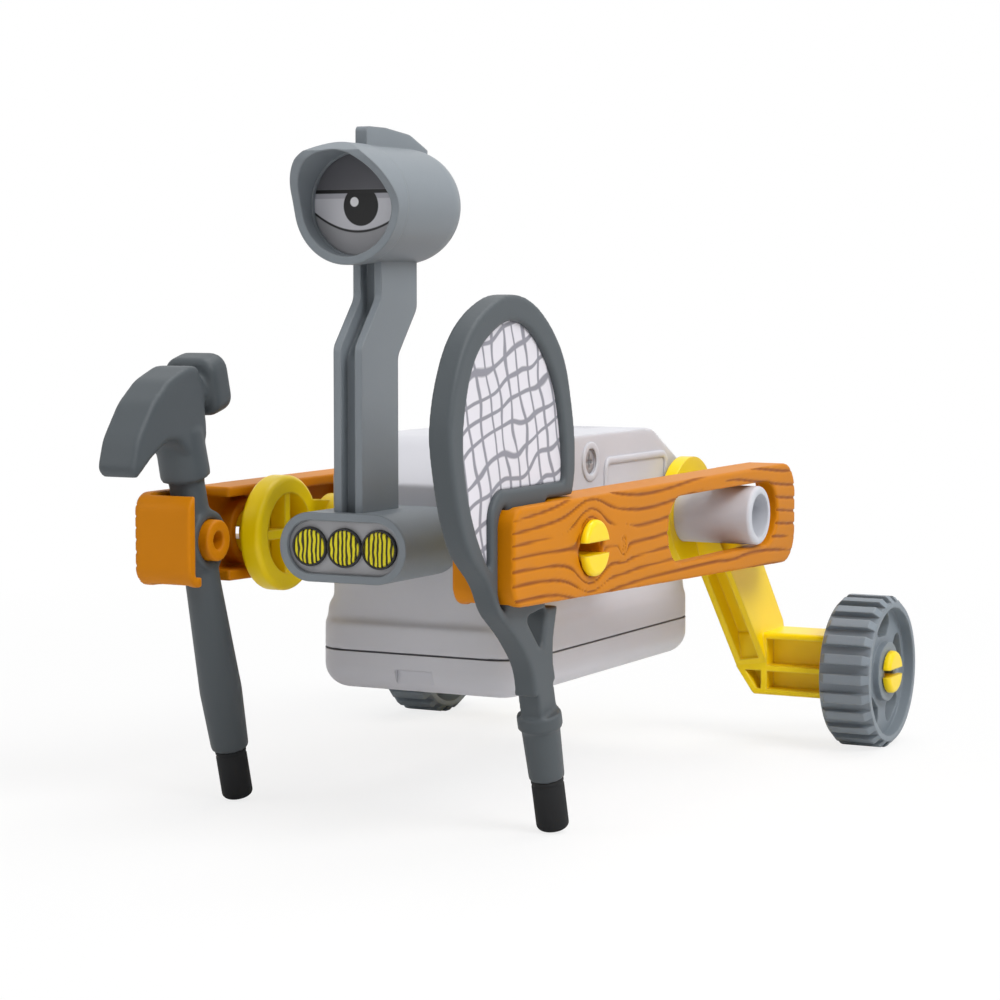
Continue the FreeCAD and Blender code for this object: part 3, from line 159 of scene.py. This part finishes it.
# Grain of the arms, in millimetres from the crank pin. Knots: place along the arm and radius.
GRAIN_PITCH = 2.8
GRAIN_SPREAD = 0.0022
KNOTS = ((0.0, 6.2), (15.5, 2.0), (74.0, 3.0))
KNOT_DROP = 0.6
KNOT_CORE = 0.01
GRAIN_SWAY = 2.6
SWAY_SCALES = (0.018, 0.06)
SWAY_SEED = 0.3
GROOVE_SCALES = (0.04, 0.45)
GROOVE_SEED = 7.0
GROOVE_LEAST = 0.24
GROOVE_GROWTH = 0.5
GROOVE_HALF = 0.1
GROOVE_SOFT = 0.09
GROOVE_DEEP = 0.3
GROOVE_DARK = 0.85
FACE_BAND = 0.25

# String panel: spacing and seed of each family of lines, and their sway.
STRING_ROWS = ((4.3, 3.0), (4.7, 11.0))
STRING_SCALES = (0.09, 0.07)
STRING_SWAY = 7.0
STRING_HALF = 0.1
STRING_SOFT = 0.03

# Eye, in millimetres from the head's middle. Spots: X, Z and radius.
EYE_CURVE = 0.036
EYE_LOW = 5.3
EYE_TOP = 2.6
SHADE_Z = 1.2
SHADE_SOFT = 0.1
PUPIL = (0.6, -0.3, 4.0)
GLINT = (-0.9, 0.5, 0.95)
LID_LOW = 2.2
LID_HIGH = 3.0
LASH_BAND = (-0.35, 0.15)
LASH_TOP = 2.4

# Lamp stripes.
STRIPE_PITCH = 1.02
STRIPE_SCALES = (0.5, 0.35)
STRIPE_SWAY = 0.9
STRIPE_SHARE = 0.48
STRIPE_SOFT = 0.06

# Seam of the cover, and the dotted grip on the roof, whose raised dots are darkened with painted shade.
SEAM_HALF = 0.16
SEAM_SOFT = 0.05
SEAM_DEEP = 0.3
DOT_PITCH = 1.7
DOT_RADIUS = 0.27
DOT_SOFT = 0.05
# Share of painted shade laid on the grip dots.
DOT_PAINTED_SHADE = 0.5
DOT_DEEP = 0.35
GRIP_Y = (22.0, 32.0)
GRIP_HALF = 12.0
GRIP_Z = 76.0

# Worn pieces: node, piece, body, voxel, rounds, and a band of heights with more rounds.
WORN = (
    ("hammer", "hammer_soft", "right_arm_body", 0.42, 14, None),
    ("racket_frame", "racket_soft", "left_arm_body", 0.36, 5, (30.0, 120.0, 14)),
    ("upper_housing", "housing_soft", "module", 0.5, 3, (33.5, 52.0, 22)),
)
ARM_VOXEL = 0.34
ARM_ROUNDS = 5
SMOOTH_SHARE = 0.5

# Turned forms and corners: steps round a turn, over a half turn and over a quarter.
TURN_STEPS = 48
HALF_STEPS = 8
QUARTER_STEPS = 6

# Rubber foot. Groove: depth, and how far below the top.
FOOT_RADIUS = 3.3
FOOT_TOP = -47.0
FOOT_ROUND = 1.1
FOOT_GROOVE = ((0.0, 1.6), (0.15, 1.4), (0.15, 1.0), (0.0, 0.8))

# Rings: inner radius, outer radius and height, and the shares that are straight and domed.
LAMP_RING = (3.55, 4.0, 0.8)
LAMP_PITCH = 8.04
BOSS_RING = (2.85, 4.3, 0.45)
BOSS_SPOTS = ((2.1, 71.0), (-27.5, 68.6))
BOSS_SUNK = 0.05
RING_STRAIGHT = 0.7
RING_DOME = 0.3

# Raised frame on each side of the tower: its corners are Y and Z.
FRAME_LOW = (9.0, 58.5)
FRAME_HIGH = (43.0, 71.5)
FRAME_CORNER = 3.0
FRAME_WIDE = 1.6
FRAME_PROUD = 0.5
FRAME_SUNK = 0.1
FRAME_SHOULDER = 0.6
FRAME_ROUND = 0.2

# Floor in metres, and its fade to white in millimetres from the middle.
FLOOR_HALF = 3.0
FLOOR_GREY = 0.86
FLOOR_ROUGH = 0.9
FADE_FROM = 90.0
FADE_TO = 420.0
FADE_LEAST = 0.8

# Lights in metres and watts: name, place, size and power.
LIGHTS = (
    ("key", (0.9, -0.35, 1.0), 0.7, 12.0),
    ("top", (0.1, 0.3, 1.3), 0.9, 8.0),
    ("fill", (-0.8, -0.9, 0.6), 0.8, 2.6),
)
LIGHT_AIM = (0.0, 0.0, 0.07)
WORLD_FILL = 0.27


def linear(value):
    """A display value from 0 to 255 as linear light."""
    share = value / DISPLAY_TOP
    if share <= TOE_END:
        return share / TOE_SLOPE
    return ((share + CURVE_SHIFT) / (1.0 + CURVE_SHIFT)) ** CURVE_POWER


def colour(values):
    """Display values as a linear colour with full alpha."""
    return tuple(linear(value) for value in values) + (1.0,)


def add_node(tree, kind, **values):
    """A shader node with its settings and plain inputs."""
    item = tree.nodes.new(kind)
    for key, value in values.items():
        if hasattr(item, key):
            setattr(item, key, value)
        else:
            item.inputs[key.replace("_", " ")].default_value = value
    return item


def moulded(name):
    """Moulded plastic or metal: soft edges, fine grain, faint mottling and lighter rubbed edges."""
    rough = ROUGHNESS.get(name, PLAIN_ROUGH)
    metal = name in METALS
    material = bpy.data.materials.new(name)
    material.use_nodes = True
    tree = material.node_tree
    shader = tree.nodes["Principled BSDF"]
    shader.inputs["Roughness"].default_value = rough
    shader.inputs["Metallic"].default_value = METALLIC if metal else 0.0
    shine = METAL_SHINE if metal else SHINE.get(name, PLAIN_SHINE)
    shader.inputs["Specular IOR Level"].default_value = shine
    place = add_node(tree, "ShaderNodeTexCoord")
    broad = add_node(tree, "ShaderNodeTexNoise", Scale=BROAD_SCALE, Detail=BROAD_DETAIL)
    fine = add_node(tree, "ShaderNodeTexNoise", Scale=FINE_SCALE, Detail=FINE_DETAIL)
    for pattern in (broad, fine):
        tree.links.new(place.outputs["Object"], pattern.inputs["Vector"])
    base = colour(COLOURS[name])[:3]
    tint = add_node(tree, "ShaderNodeMix", data_type="RGBA")
    tint.inputs["A"].default_value = tuple(channel * (1 - MOTTLE) for channel in base) + (1.0,)
    tint.inputs["B"].default_value = tuple(min(channel * (1 + MOTTLE), 1.0) for channel in base) + (1.0,)
    tree.links.new(broad.outputs["Fac"], tint.inputs["Factor"])
    rounded = add_node(tree, "ShaderNodeBevel", samples=EDGE_SAMPLES, Radius=EDGE_ROUND)
    plain = add_node(tree, "ShaderNodeNewGeometry")
    turn = add_node(tree, "ShaderNodeVectorMath", operation="DOT_PRODUCT")
    for index, source in enumerate((rounded, plain)):
        tree.links.new(source.outputs["Normal"], turn.inputs[index])
    rub = add_node(
        tree, "ShaderNodeMapRange", From_Min=RUB_STARTS, From_Max=RUB_FULL, To_Max=RUB_MOST,
    )
    tree.links.new(turn.outputs["Value"], rub.inputs["Value"])
    worn = add_node(tree, "ShaderNodeMix", data_type="RGBA")
    worn.inputs["B"].default_value = tuple(c + (1.0 - c) * RUB_PALE for c in base) + (1.0,)
    tree.links.new(tint.outputs["Result"], worn.inputs["A"])
    tree.links.new(rub.outputs["Result"], worn.inputs["Factor"])
    tree.links.new(worn.outputs["Result"], shader.inputs["Base Color"])
    bump = add_node(tree, "ShaderNodeBump", Strength=FINE_BUMP, Distance=FINE_DEPTH)
    tree.links.new(fine.outputs["Fac"], bump.inputs["Height"])
    tree.links.new(rounded.outputs["Normal"], bump.inputs["Normal"])
    tree.links.new(bump.outputs["Normal"], shader.inputs["Normal"])
    sheen = add_node(
        tree, "ShaderNodeMapRange", To_Min=rough * SHEEN_LOW, To_Max=min(rough * SHEEN_HIGH, 1.0),
    )
    tree.links.new(broad.outputs["Fac"], sheen.inputs["Value"])
    tree.links.new(sheen.outputs["Result"], shader.inputs["Roughness"])
    return material


def feed(tree, sockets, values):
    """Gives each input a number or a link."""
    for socket, value in zip(sockets, values):
        if isinstance(value, (int, float)):
            socket.default_value = value
        else:
            tree.links.new(value, socket)


def calc(tree, operation, first, second=0.0):
    """A math node on two sockets or numbers."""
    item = add_node(tree, "ShaderNodeMath", operation=operation)
    feed(tree, item.inputs, (first, second))
    return item.outputs["Value"]


def over(tree, value, edge, soft=SOFT):
    """Goes from 0 to 1 as a value passes an edge."""
    item = add_node(tree, "ShaderNodeMapRange", From_Min=edge - soft, From_Max=edge + soft)
    tree.links.new(value, item.inputs["Value"])
    return item.outputs["Result"]


def under(tree, value, edge, soft=SOFT):
    """Goes from 1 to 0 as a value passes an edge."""
    return calc(tree, "SUBTRACT", 1.0, over(tree, value, edge, soft))


def both(tree, first, second):
    """The product of two masks or values."""
    return calc(tree, "MULTIPLY", first, second)


def places(tree, turn=0.0, centre=(0.0, 0.0, 0.0)):
    """Object X, Y and Z in millimetres from a centre, turned about X."""
    source = add_node(tree, "ShaderNodeTexCoord")
    mapping = add_node(
        tree, "ShaderNodeMapping", vector_type="TEXTURE", Location=[value * MM for value in centre],
        Rotation=(math.radians(turn), 0.0, 0.0), Scale=(MM, MM, MM),
    )
    parts = add_node(tree, "ShaderNodeSeparateXYZ")
    tree.links.new(source.outputs["Object"], mapping.inputs["Vector"])
    tree.links.new(mapping.outputs["Vector"], parts.inputs["Vector"])
    return parts.outputs["X"], parts.outputs["Y"], parts.outputs["Z"]


def noise_at(tree, values):
    """Noise from 0 to 1 over three sockets or numbers."""
    join = add_node(tree, "ShaderNodeCombineXYZ")
    feed(tree, join.inputs, values)
    pattern = add_node(tree, "ShaderNodeTexNoise", Scale=1.0, Detail=MAP_DETAIL)
    tree.links.new(join.outputs["Vector"], pattern.inputs["Vector"])
    return pattern.outputs["Fac"]


def distance(tree, a, b, spot_a=0.0, spot_b=0.0):
    """How far a point of a plane is from a spot."""
    side_a = calc(tree, "SUBTRACT", a, spot_a)
    side_b = calc(tree, "SUBTRACT", b, spot_b)
    squares = calc(tree, "ADD", both(tree, side_a, side_a), both(tree, side_b, side_b))
    return calc(tree, "SQRT", squares)


def row_spot(tree, rows):
    """The place within a row, from 0 to 1."""
    return calc(tree, "FRACT", calc(tree, "ADD", rows, ROW_SHIFT))


def laid_over(material, mask, overlay):
    """Lays a colour over a material where the mask is 1: print and dark lines, and painted shade on the
    roof's grip dots.
    """
    tree = material.node_tree
    target = tree.nodes["Principled BSDF"].inputs["Base Color"]
    source = target.links[0].from_socket
    mix = add_node(tree, "ShaderNodeMix", data_type="RGBA")
    mix.inputs["B"].default_value = colour(PRINT_AND_SHADE_COLOURS[overlay])
    tree.links.new(source, mix.inputs["A"])
    tree.links.new(mask, mix.inputs["Factor"])
    tree.links.new(mix.outputs["Result"], target)


def engraved(material, mask, depth):
    """Sinks the surface, by its shading, where the mask is 1."""
    tree = material.node_tree
    target = tree.nodes["Principled BSDF"].inputs["Normal"]
    source = target.links[0].from_socket
    bump = add_node(tree, "ShaderNodeBump", invert=True, Strength=1.0, Distance=depth * MM)
    tree.links.new(mask, bump.inputs["Height"])
    tree.links.new(source, bump.inputs["Normal"])
    tree.links.new(bump.outputs["Normal"], target)


def wood_grain(material):
    """Darkens the grooves that are cut into the arms."""
    tree = material.node_tree
    mask = add_node(tree, "ShaderNodeAttribute", attribute_name="grain").outputs["Fac"]
    laid_over(material, both(tree, mask, GROOVE_DARK), "groove")


def string_print(material):
    """Two families of wavy lines over a pale sheet."""
    tree = material.node_tree
    _, across, up = places(tree, turn=TOOL_TILT, centre=(0.0, PEG_Y, LINE_Z))
    main_scale, other_scale = STRING_SCALES
    for main, other, (spacing, seed) in zip((across, up), (up, across), STRING_ROWS):
        sway = noise_at(tree, (seed, both(tree, main, main_scale), both(tree, other, other_scale)))
        lean = both(tree, calc(tree, "SUBTRACT", sway, MIDDLE), STRING_SWAY)
        spot = row_spot(tree, calc(tree, "DIVIDE", calc(tree, "ADD", main, lean), spacing))
        off = calc(tree, "ABSOLUTE", calc(tree, "SUBTRACT", spot, MIDDLE))
        laid_over(material, under(tree, off, STRING_HALF, STRING_SOFT), "string")


def eye_print(material):
    """A plain half closed eye: two lids, a pale middle and a round pupil."""
    tree = material.node_tree
    x, _, z = places(tree, centre=(0.0, 0.0, HEAD_Z))
    curve = calc(tree, "SUBTRACT", both(tree, both(tree, x, x), EYE_CURVE), EYE_LOW)
    depth = calc(tree, "SUBTRACT", z, curve)
    pale = both(tree, over(tree, depth, 0.0), under(tree, z, EYE_TOP))
    laid_over(material, pale, "eye_pale")
    laid_over(material, both(tree, pale, over(tree, z, SHADE_Z, SHADE_SOFT)), "eye_shade")
    spot_x, spot_z, radius = PUPIL
    pupil = both(tree, under(tree, distance(tree, x, z, spot_x, spot_z), radius), pale)
    laid_over(material, pupil, "pupil")
    spot_x, spot_z, radius = GLINT
    laid_over(material, under(tree, distance(tree, x, z, spot_x, spot_z), radius), "glint")
    laid_over(material, both(tree, over(tree, z, LID_LOW), under(tree, z, LID_HIGH)), "lid_edge")
    laid_over(material, over(tree, z, LID_HIGH), "lid")
    low, high = LASH_BAND
    lash = both(tree, over(tree, depth, low), under(tree, depth, high))
    laid_over(material, both(tree, lash, under(tree, z, LASH_TOP)), "lash")


def lens_print(material):
    """Dark upright stripes behind a yellow lens."""
    tree = material.node_tree
    x, _, z = places(tree)
    scale_x, scale_z = STRIPE_SCALES
    sway = noise_at(tree, (both(tree, x, scale_x), 0.0, both(tree, z, scale_z)))
    lean = both(tree, sway, STRIPE_SWAY)
    spot = row_spot(tree, calc(tree, "ADD", calc(tree, "DIVIDE", x, STRIPE_PITCH), lean))
    laid_over(material, under(tree, spot, STRIPE_SHARE, STRIPE_SOFT), "stripe")


def seam_and_grip_shade(material):
    """The dark line where the cover meets the housing, and a dotted grip on the roof whose dots are sunk
    by bump and darkened with painted shade.
    """
    tree = material.node_tree
    x, y, z = places(tree)
    height = calc(tree, "ABSOLUTE", calc(tree, "SUBTRACT", z, PARTING_Z))
    line = under(tree, height, SEAM_HALF, SEAM_SOFT)
    laid_over(material, line, "seam")
    engraved(material, line, SEAM_DEEP)
    dots = []
    for value in (x, y):
        spot = row_spot(tree, calc(tree, "DIVIDE", value, DOT_PITCH))
        dots.append(calc(tree, "SUBTRACT", spot, MIDDLE))
    grip = under(tree, distance(tree, dots[0], dots[1]), DOT_RADIUS, DOT_SOFT)
    low, high = GRIP_Y
    area = both(tree, over(tree, y, low, CRISP), under(tree, y, high, CRISP))
    area = both(tree, area, under(tree, calc(tree, "ABSOLUTE", x), GRIP_HALF, CRISP))
    mask = both(tree, both(tree, grip, area), over(tree, z, GRIP_Z, CRISP))
    # Painted shade: the grip dots are darkened to stand in for the shading of raised dots.
    laid_over(material, both(tree, mask, DOT_PAINTED_SHADE), "dot_painted_shade")
    engraved(material, mask, DOT_DEEP)


def grain(along, up):
    """How deep a groove is, from 0 to 1: lines that run along, round the pin hole and two knots."""
    flow = up / (1.0 + GRAIN_SPREAD * along)
    for spot, radius in KNOTS:
        reach = (along - spot) ** 2 + (up + KNOT_DROP * (spot > 0)) ** 2 + KNOT_CORE
        flow *= 1.0 - radius * radius / reach
    scale_along, scale_up = SWAY_SCALES
    flow += GRAIN_SWAY * noise.noise(Vector((along * scale_along, up * scale_up, SWAY_SEED)))
    off = abs((flow / GRAIN_PITCH + MIDDLE) % 1.0 - MIDDLE)
    scale_along, scale_up = GROOVE_SCALES
    ends = MIDDLE + MIDDLE * noise.noise(Vector((along * scale_along, up * scale_up, GROOVE_SEED)))
    wide = min((ends - GROOVE_LEAST) * GROOVE_GROWTH, GROOVE_HALF)
    return min(max((wide - off) / GROOVE_SOFT + MIDDLE, 0.0), 1.0)


def engrave(piece):
    """Cuts the grain into an arm's outer face."""
    mesh = piece.data
    marks = mesh.attributes.new("grain", "FLOAT", "POINT")
    for vertex in mesh.vertices:
        place = vertex.co / MM
        if abs(place.x) < ARM_FACE - FACE_BAND:
            continue
        share = grain(place.y - PIN_Y, place.z - LINE_Z)
        vertex.co.x -= math.copysign(GROOVE_DEEP * share * MM, place.x)
        marks.data[vertex.index].value = share


def add_piece(name, mesh, material, body, replaced=()):
    """Puts a mesh in the scene as a piece that rides on a body."""
    obj = bpy.data.objects.new(name, mesh)
    bpy.context.scene.collection.objects.link(obj)
    mesh.materials.clear()
    mesh.materials.append(material)
    for face in mesh.polygons:
        face.use_smooth = True
    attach(obj, body)
    if replaced:
        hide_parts(*replaced)
    return obj


def work_object(mesh):
    """An object that lives only until its modifiers are applied."""
    work = bpy.data.objects.new("work", mesh)
    bpy.context.scene.collection.objects.link(work)
    return work


def add_smooth(work, rounds):
    smooth = work.modifiers.new("smooth", "SMOOTH")
    smooth.factor = SMOOTH_SHARE
    smooth.iterations = rounds
    return smooth


def applied(work):
    """The mesh of a work object with its modifiers, in place of the object."""
    graph = bpy.context.evaluated_depsgraph_get()
    mesh = bpy.data.meshes.new_from_object(work.evaluated_get(graph))
    bpy.data.objects.remove(work)
    return mesh


def softened(node_name, name, body, voxel, rounds, rim=None):
    """A copy of a node with its edges worn round, more so between two heights, in place of the node."""
    work = work_object(frame["nodes"][node_name].data.copy())
    remesh = work.modifiers.new("remesh", "REMESH")
    remesh.mode = "VOXEL"
    remesh.voxel_size = voxel * MM
    add_smooth(work, rounds)
    mesh = applied(work)
    if rim:
        low, high, more = rim
        work = work_object(mesh)
        group = work.vertex_groups.new(name="rim")
        inside = [vertex.index for vertex in mesh.vertices if low * MM < vertex.co.z < high * MM]
        group.add(inside, 1.0, "REPLACE")
        add_smooth(work, more).vertex_group = group.name
        mesh = applied(work)
    slot = SLOTS[node_name]
    return add_piece(name, mesh, MATERIALS[slot], body, (node_name,))


def finished(form, name, place):
    """The mesh of a form in millimetres, moved by a matrix."""
    bmesh.ops.recalc_face_normals(form, faces=form.faces)
    form.transform(Matrix.Scale(MM, 4) @ place)
    mesh = bpy.data.meshes.new(name)
    form.to_mesh(mesh)
    form.free()
    return mesh


def turned(profile, place):
    """A turned form: pairs of radius and height about Z, moved by a matrix, in millimetres."""
    form = bmesh.new()
    rings = []
    for radius, height in profile:
        if radius <= 0.0:
            rings.append([form.verts.new((0.0, 0.0, height))])
            continue
        ring = []
        for step in range(TURN_STEPS):
            angle = math.tau * step / TURN_STEPS
            ring.append(form.verts.new((radius * math.cos(angle), radius * math.sin(angle), height)))
        rings.append(ring)
    for lower, upper in zip(rings, rings[1:]):
        for step in range(TURN_STEPS):
            after = (step + 1) % TURN_STEPS
            corners = [lower[step % len(lower)], lower[after % len(lower)]]
            corners += [upper[after % len(upper)], upper[step % len(upper)]]
            corners = list(dict.fromkeys(corners))
            if len(corners) > 2:
                form.faces.new(corners)
    return finished(form, "turned", place)


def rounded_foot(node_name, name, plane, body):
    """A rubber foot with a rounded end and a fine groove near its top."""
    tilt = math.radians(TOOL_TILT)
    low = -(LINE_Z - FOOT_RADIUS * math.sin(tilt)) / math.cos(tilt)
    profile = [(0.0, low)]
    for step in range(QUARTER_STEPS + 1):
        angle = math.pi / 2 * step / QUARTER_STEPS
        out = FOOT_RADIUS - FOOT_ROUND + FOOT_ROUND * math.sin(angle)
        profile.append((out, low + FOOT_ROUND - FOOT_ROUND * math.cos(angle)))
    profile += [(FOOT_RADIUS - deep, FOOT_TOP - down) for deep, down in FOOT_GROOVE]
    profile += [(FOOT_RADIUS, FOOT_TOP), (0.0, FOOT_TOP)]
    place = Matrix.Translation((plane, PEG_Y, LINE_Z)) @ Matrix.Rotation(tilt, 4, "X")
    mesh = turned(profile, place)
    add_piece(name, mesh, MATERIALS["foot_rubber"], body, (node_name,))


def collar_ring(name, sizes, place, axis, material):
    """A ring with a rounded top, standing on the module at a place and turned to an axis."""
    inner, outer, high = sizes
    profile = [(inner, 0.0), (inner, high * RING_STRAIGHT)]
    middle = (inner + outer) / 2
    half = (outer - inner) / 2
    for step in range(HALF_STEPS + 1):
        angle = math.pi * step / HALF_STEPS
        lift = RING_STRAIGHT + RING_DOME * math.sin(angle)
        profile.append((middle - half * math.cos(angle), high * lift))
    profile += [(outer, 0.0), (inner, 0.0)]
    seat = Matrix.Translation(place) @ Matrix.Rotation(math.pi / 2, 4, axis)
    add_piece(name, turned(profile, seat), MATERIALS[material], "module")


def raised_frame(name, side):
    """A rounded rectangular frame standing on a side of the tower."""
    low_y, low_z = FRAME_LOW
    high_y, high_z = FRAME_HIGH
    shoulder = FRAME_PROUD * FRAME_SHOULDER
    section = (
        (0.0, -FRAME_SUNK), (0.0, shoulder), (FRAME_ROUND, FRAME_PROUD),
        (FRAME_WIDE - FRAME_ROUND, FRAME_PROUD), (FRAME_WIDE, shoulder), (FRAME_WIDE, -FRAME_SUNK),
    )
    centres = (
        (high_y - FRAME_CORNER, high_z - FRAME_CORNER), (low_y + FRAME_CORNER, high_z - FRAME_CORNER),
        (low_y + FRAME_CORNER, low_z + FRAME_CORNER), (high_y - FRAME_CORNER, low_z + FRAME_CORNER),
    )
    form = bmesh.new()
    rings = []
    for inset, lift in section:
        radius = FRAME_CORNER - inset
        ring = []
        for turn, (centre_y, centre_z) in enumerate(centres):
            for step in range(QUARTER_STEPS + 1):
                angle = math.pi / 2 * (turn + step / QUARTER_STEPS)
                spot_y = centre_y + radius * math.cos(angle)
                spot_z = centre_z + radius * math.sin(angle)
                ring.append(form.verts.new((side * (TOWER + lift), spot_y, spot_z)))
        rings.append(ring)
    count = len(rings[0])
    for first, second in zip(rings, rings[1:] + rings[:1]):
        for index in range(count):
            after = (index + 1) % count
            form.faces.new((first[index], first[after], second[after], second[index]))
    mesh = finished(form, name, Matrix.Identity(4))
    add_piece(name, mesh, MATERIALS["white_shell"], "module")


def stage_floor():
    """A pale floor that fades into a white background away from the object."""
    half = FLOOR_HALF
    corners = [(-half, -half, 0.0), (half, -half, 0.0), (half, half, 0.0), (-half, half, 0.0)]
    mesh = bpy.data.meshes.new("floor")
    mesh.from_pydata(corners, [], [tuple(range(len(corners)))])
    floor = bpy.data.objects.new("floor", mesh)
    bpy.context.scene.collection.objects.link(floor)
    material = bpy.data.materials.new("floor_paper")
    material.use_nodes = True
    tree = material.node_tree
    shader = tree.nodes["Principled BSDF"]
    shader.inputs["Base Color"].default_value = (FLOOR_GREY, FLOOR_GREY, FLOOR_GREY, 1.0)
    shader.inputs["Roughness"].default_value = FLOOR_ROUGH
    glow = add_node(tree, "ShaderNodeEmission", Strength=1.0, Color=WHITE)
    path = add_node(tree, "ShaderNodeLightPath")
    x, y, _ = places(tree)
    fade = add_node(
        tree, "ShaderNodeMapRange", From_Min=FADE_FROM, From_Max=FADE_TO, To_Min=FADE_LEAST,
    )
    tree.links.new(distance(tree, x, y), fade.inputs["Value"])
    mix = add_node(tree, "ShaderNodeMixShader")
    share, paper, white = mix.inputs
    tree.links.new(both(tree, path.outputs["Is Camera Ray"], fade.outputs["Result"]), share)
    tree.links.new(shader.outputs["BSDF"], paper)
    tree.links.new(glow.outputs["Emission"], white)
    tree.links.new(mix.outputs["Shader"], tree.nodes["Material Output"].inputs["Surface"])
    mesh.materials.append(material)


def area_light(name, place, size, power):
    """A round soft light that looks at the object's middle."""
    light = bpy.data.lights.new(name, "AREA")
    light.shape = "DISK"
    light.size = size
    light.energy = power
    obj = bpy.data.objects.new(name, light)
    obj.location = place
    obj.rotation_euler = (Vector(LIGHT_AIM) - Vector(place)).to_track_quat("-Z", "Y").to_euler()
    bpy.context.scene.collection.objects.link(obj)


def studio():
    """Soft light from above and the right, a weak fill and a pale world that looks white."""
    for light in LIGHTS:
        area_light(*light)
    world = bpy.data.worlds.new("studio")
    bpy.context.scene.world = world
    world.use_nodes = True
    tree = world.node_tree
    back = tree.nodes["Background"]
    path = add_node(tree, "ShaderNodeLightPath")
    strength = add_node(tree, "ShaderNodeMapRange", To_Min=WORLD_FILL, To_Max=1.0)
    seen = calc(tree, "MAXIMUM", path.outputs["Is Camera Ray"], path.outputs["Is Glossy Ray"])
    seen = calc(tree, "MAXIMUM", seen, path.outputs["Is Transmission Ray"])
    tree.links.new(seen, strength.inputs["Value"])
    tree.links.new(strength.outputs["Result"], back.inputs["Strength"])
    back.inputs["Color"].default_value = WHITE


def camera():
    """The photograph's camera."""
    data = bpy.data.cameras.new("camera")
    data.sensor_width = SENSOR
    data.lens = FOCAL_PIXELS * SENSOR / IMAGE
    data.clip_end = CLIP_END
    obj = bpy.data.objects.new("camera", data)
    obj.location = [value * MM for value in CAMERA_AT]
    obj.rotation_euler = (math.radians(90.0 - CAMERA_PITCH), 0.0, math.radians(CAMERA_TURN))
    bpy.context.scene.collection.objects.link(obj)
    bpy.context.scene.camera = obj


MATERIALS = {name: moulded(name) for name in COLOURS}
SLOTS = {part["node"]: part["material_slot"] for part in frame["record"]["subparts"]}
for node_name, obj in frame["nodes"].items():
    obj.data.materials.clear()
    obj.data.materials.append(MATERIALS[SLOTS[node_name]])
wood_grain(MATERIALS["orange_plastic"])
string_print(MATERIALS["string_sheet"])
eye_print(MATERIALS["eye_sheet"])
lens_print(MATERIALS["lens_plastic"])
seam_and_grip_shade(MATERIALS["white_shell"])

for piece in WORN:
    softened(*piece)
for word in ("left", "right"):
    engrave(softened(word + "_arm", word + "_arm_soft", word + "_arm_body", ARM_VOXEL, ARM_ROUNDS))
rounded_foot("hammer_foot", "hammer_foot_soft", HAMMER_PLANE, "right_arm_body")
rounded_foot("racket_foot", "racket_foot_soft", RACKET_PLANE, "left_arm_body")
for word, side in (("left", 1), ("right", -1)):
    raised_frame("side_frame_" + word, side)
panel_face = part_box("lamp_panel")[0][1] / MM
for word, way in (("right", -1), ("middle", 0), ("left", 1)):
    spot = (way * LAMP_PITCH, panel_face, LINE_Z)
    collar_ring("lamp_rim_" + word, LAMP_RING, spot, "X", "rim_black")
for index, (spot_y, spot_z) in enumerate(BOSS_SPOTS, start=1):
    spot = (TOWER - BOSS_SUNK, spot_y, spot_z)
    collar_ring("screw_boss_%d" % index, BOSS_RING, spot, "Y", "white_shell")

stage_floor()
studio()
camera()
bpy.context.scene.view_settings.view_transform = "Standard"
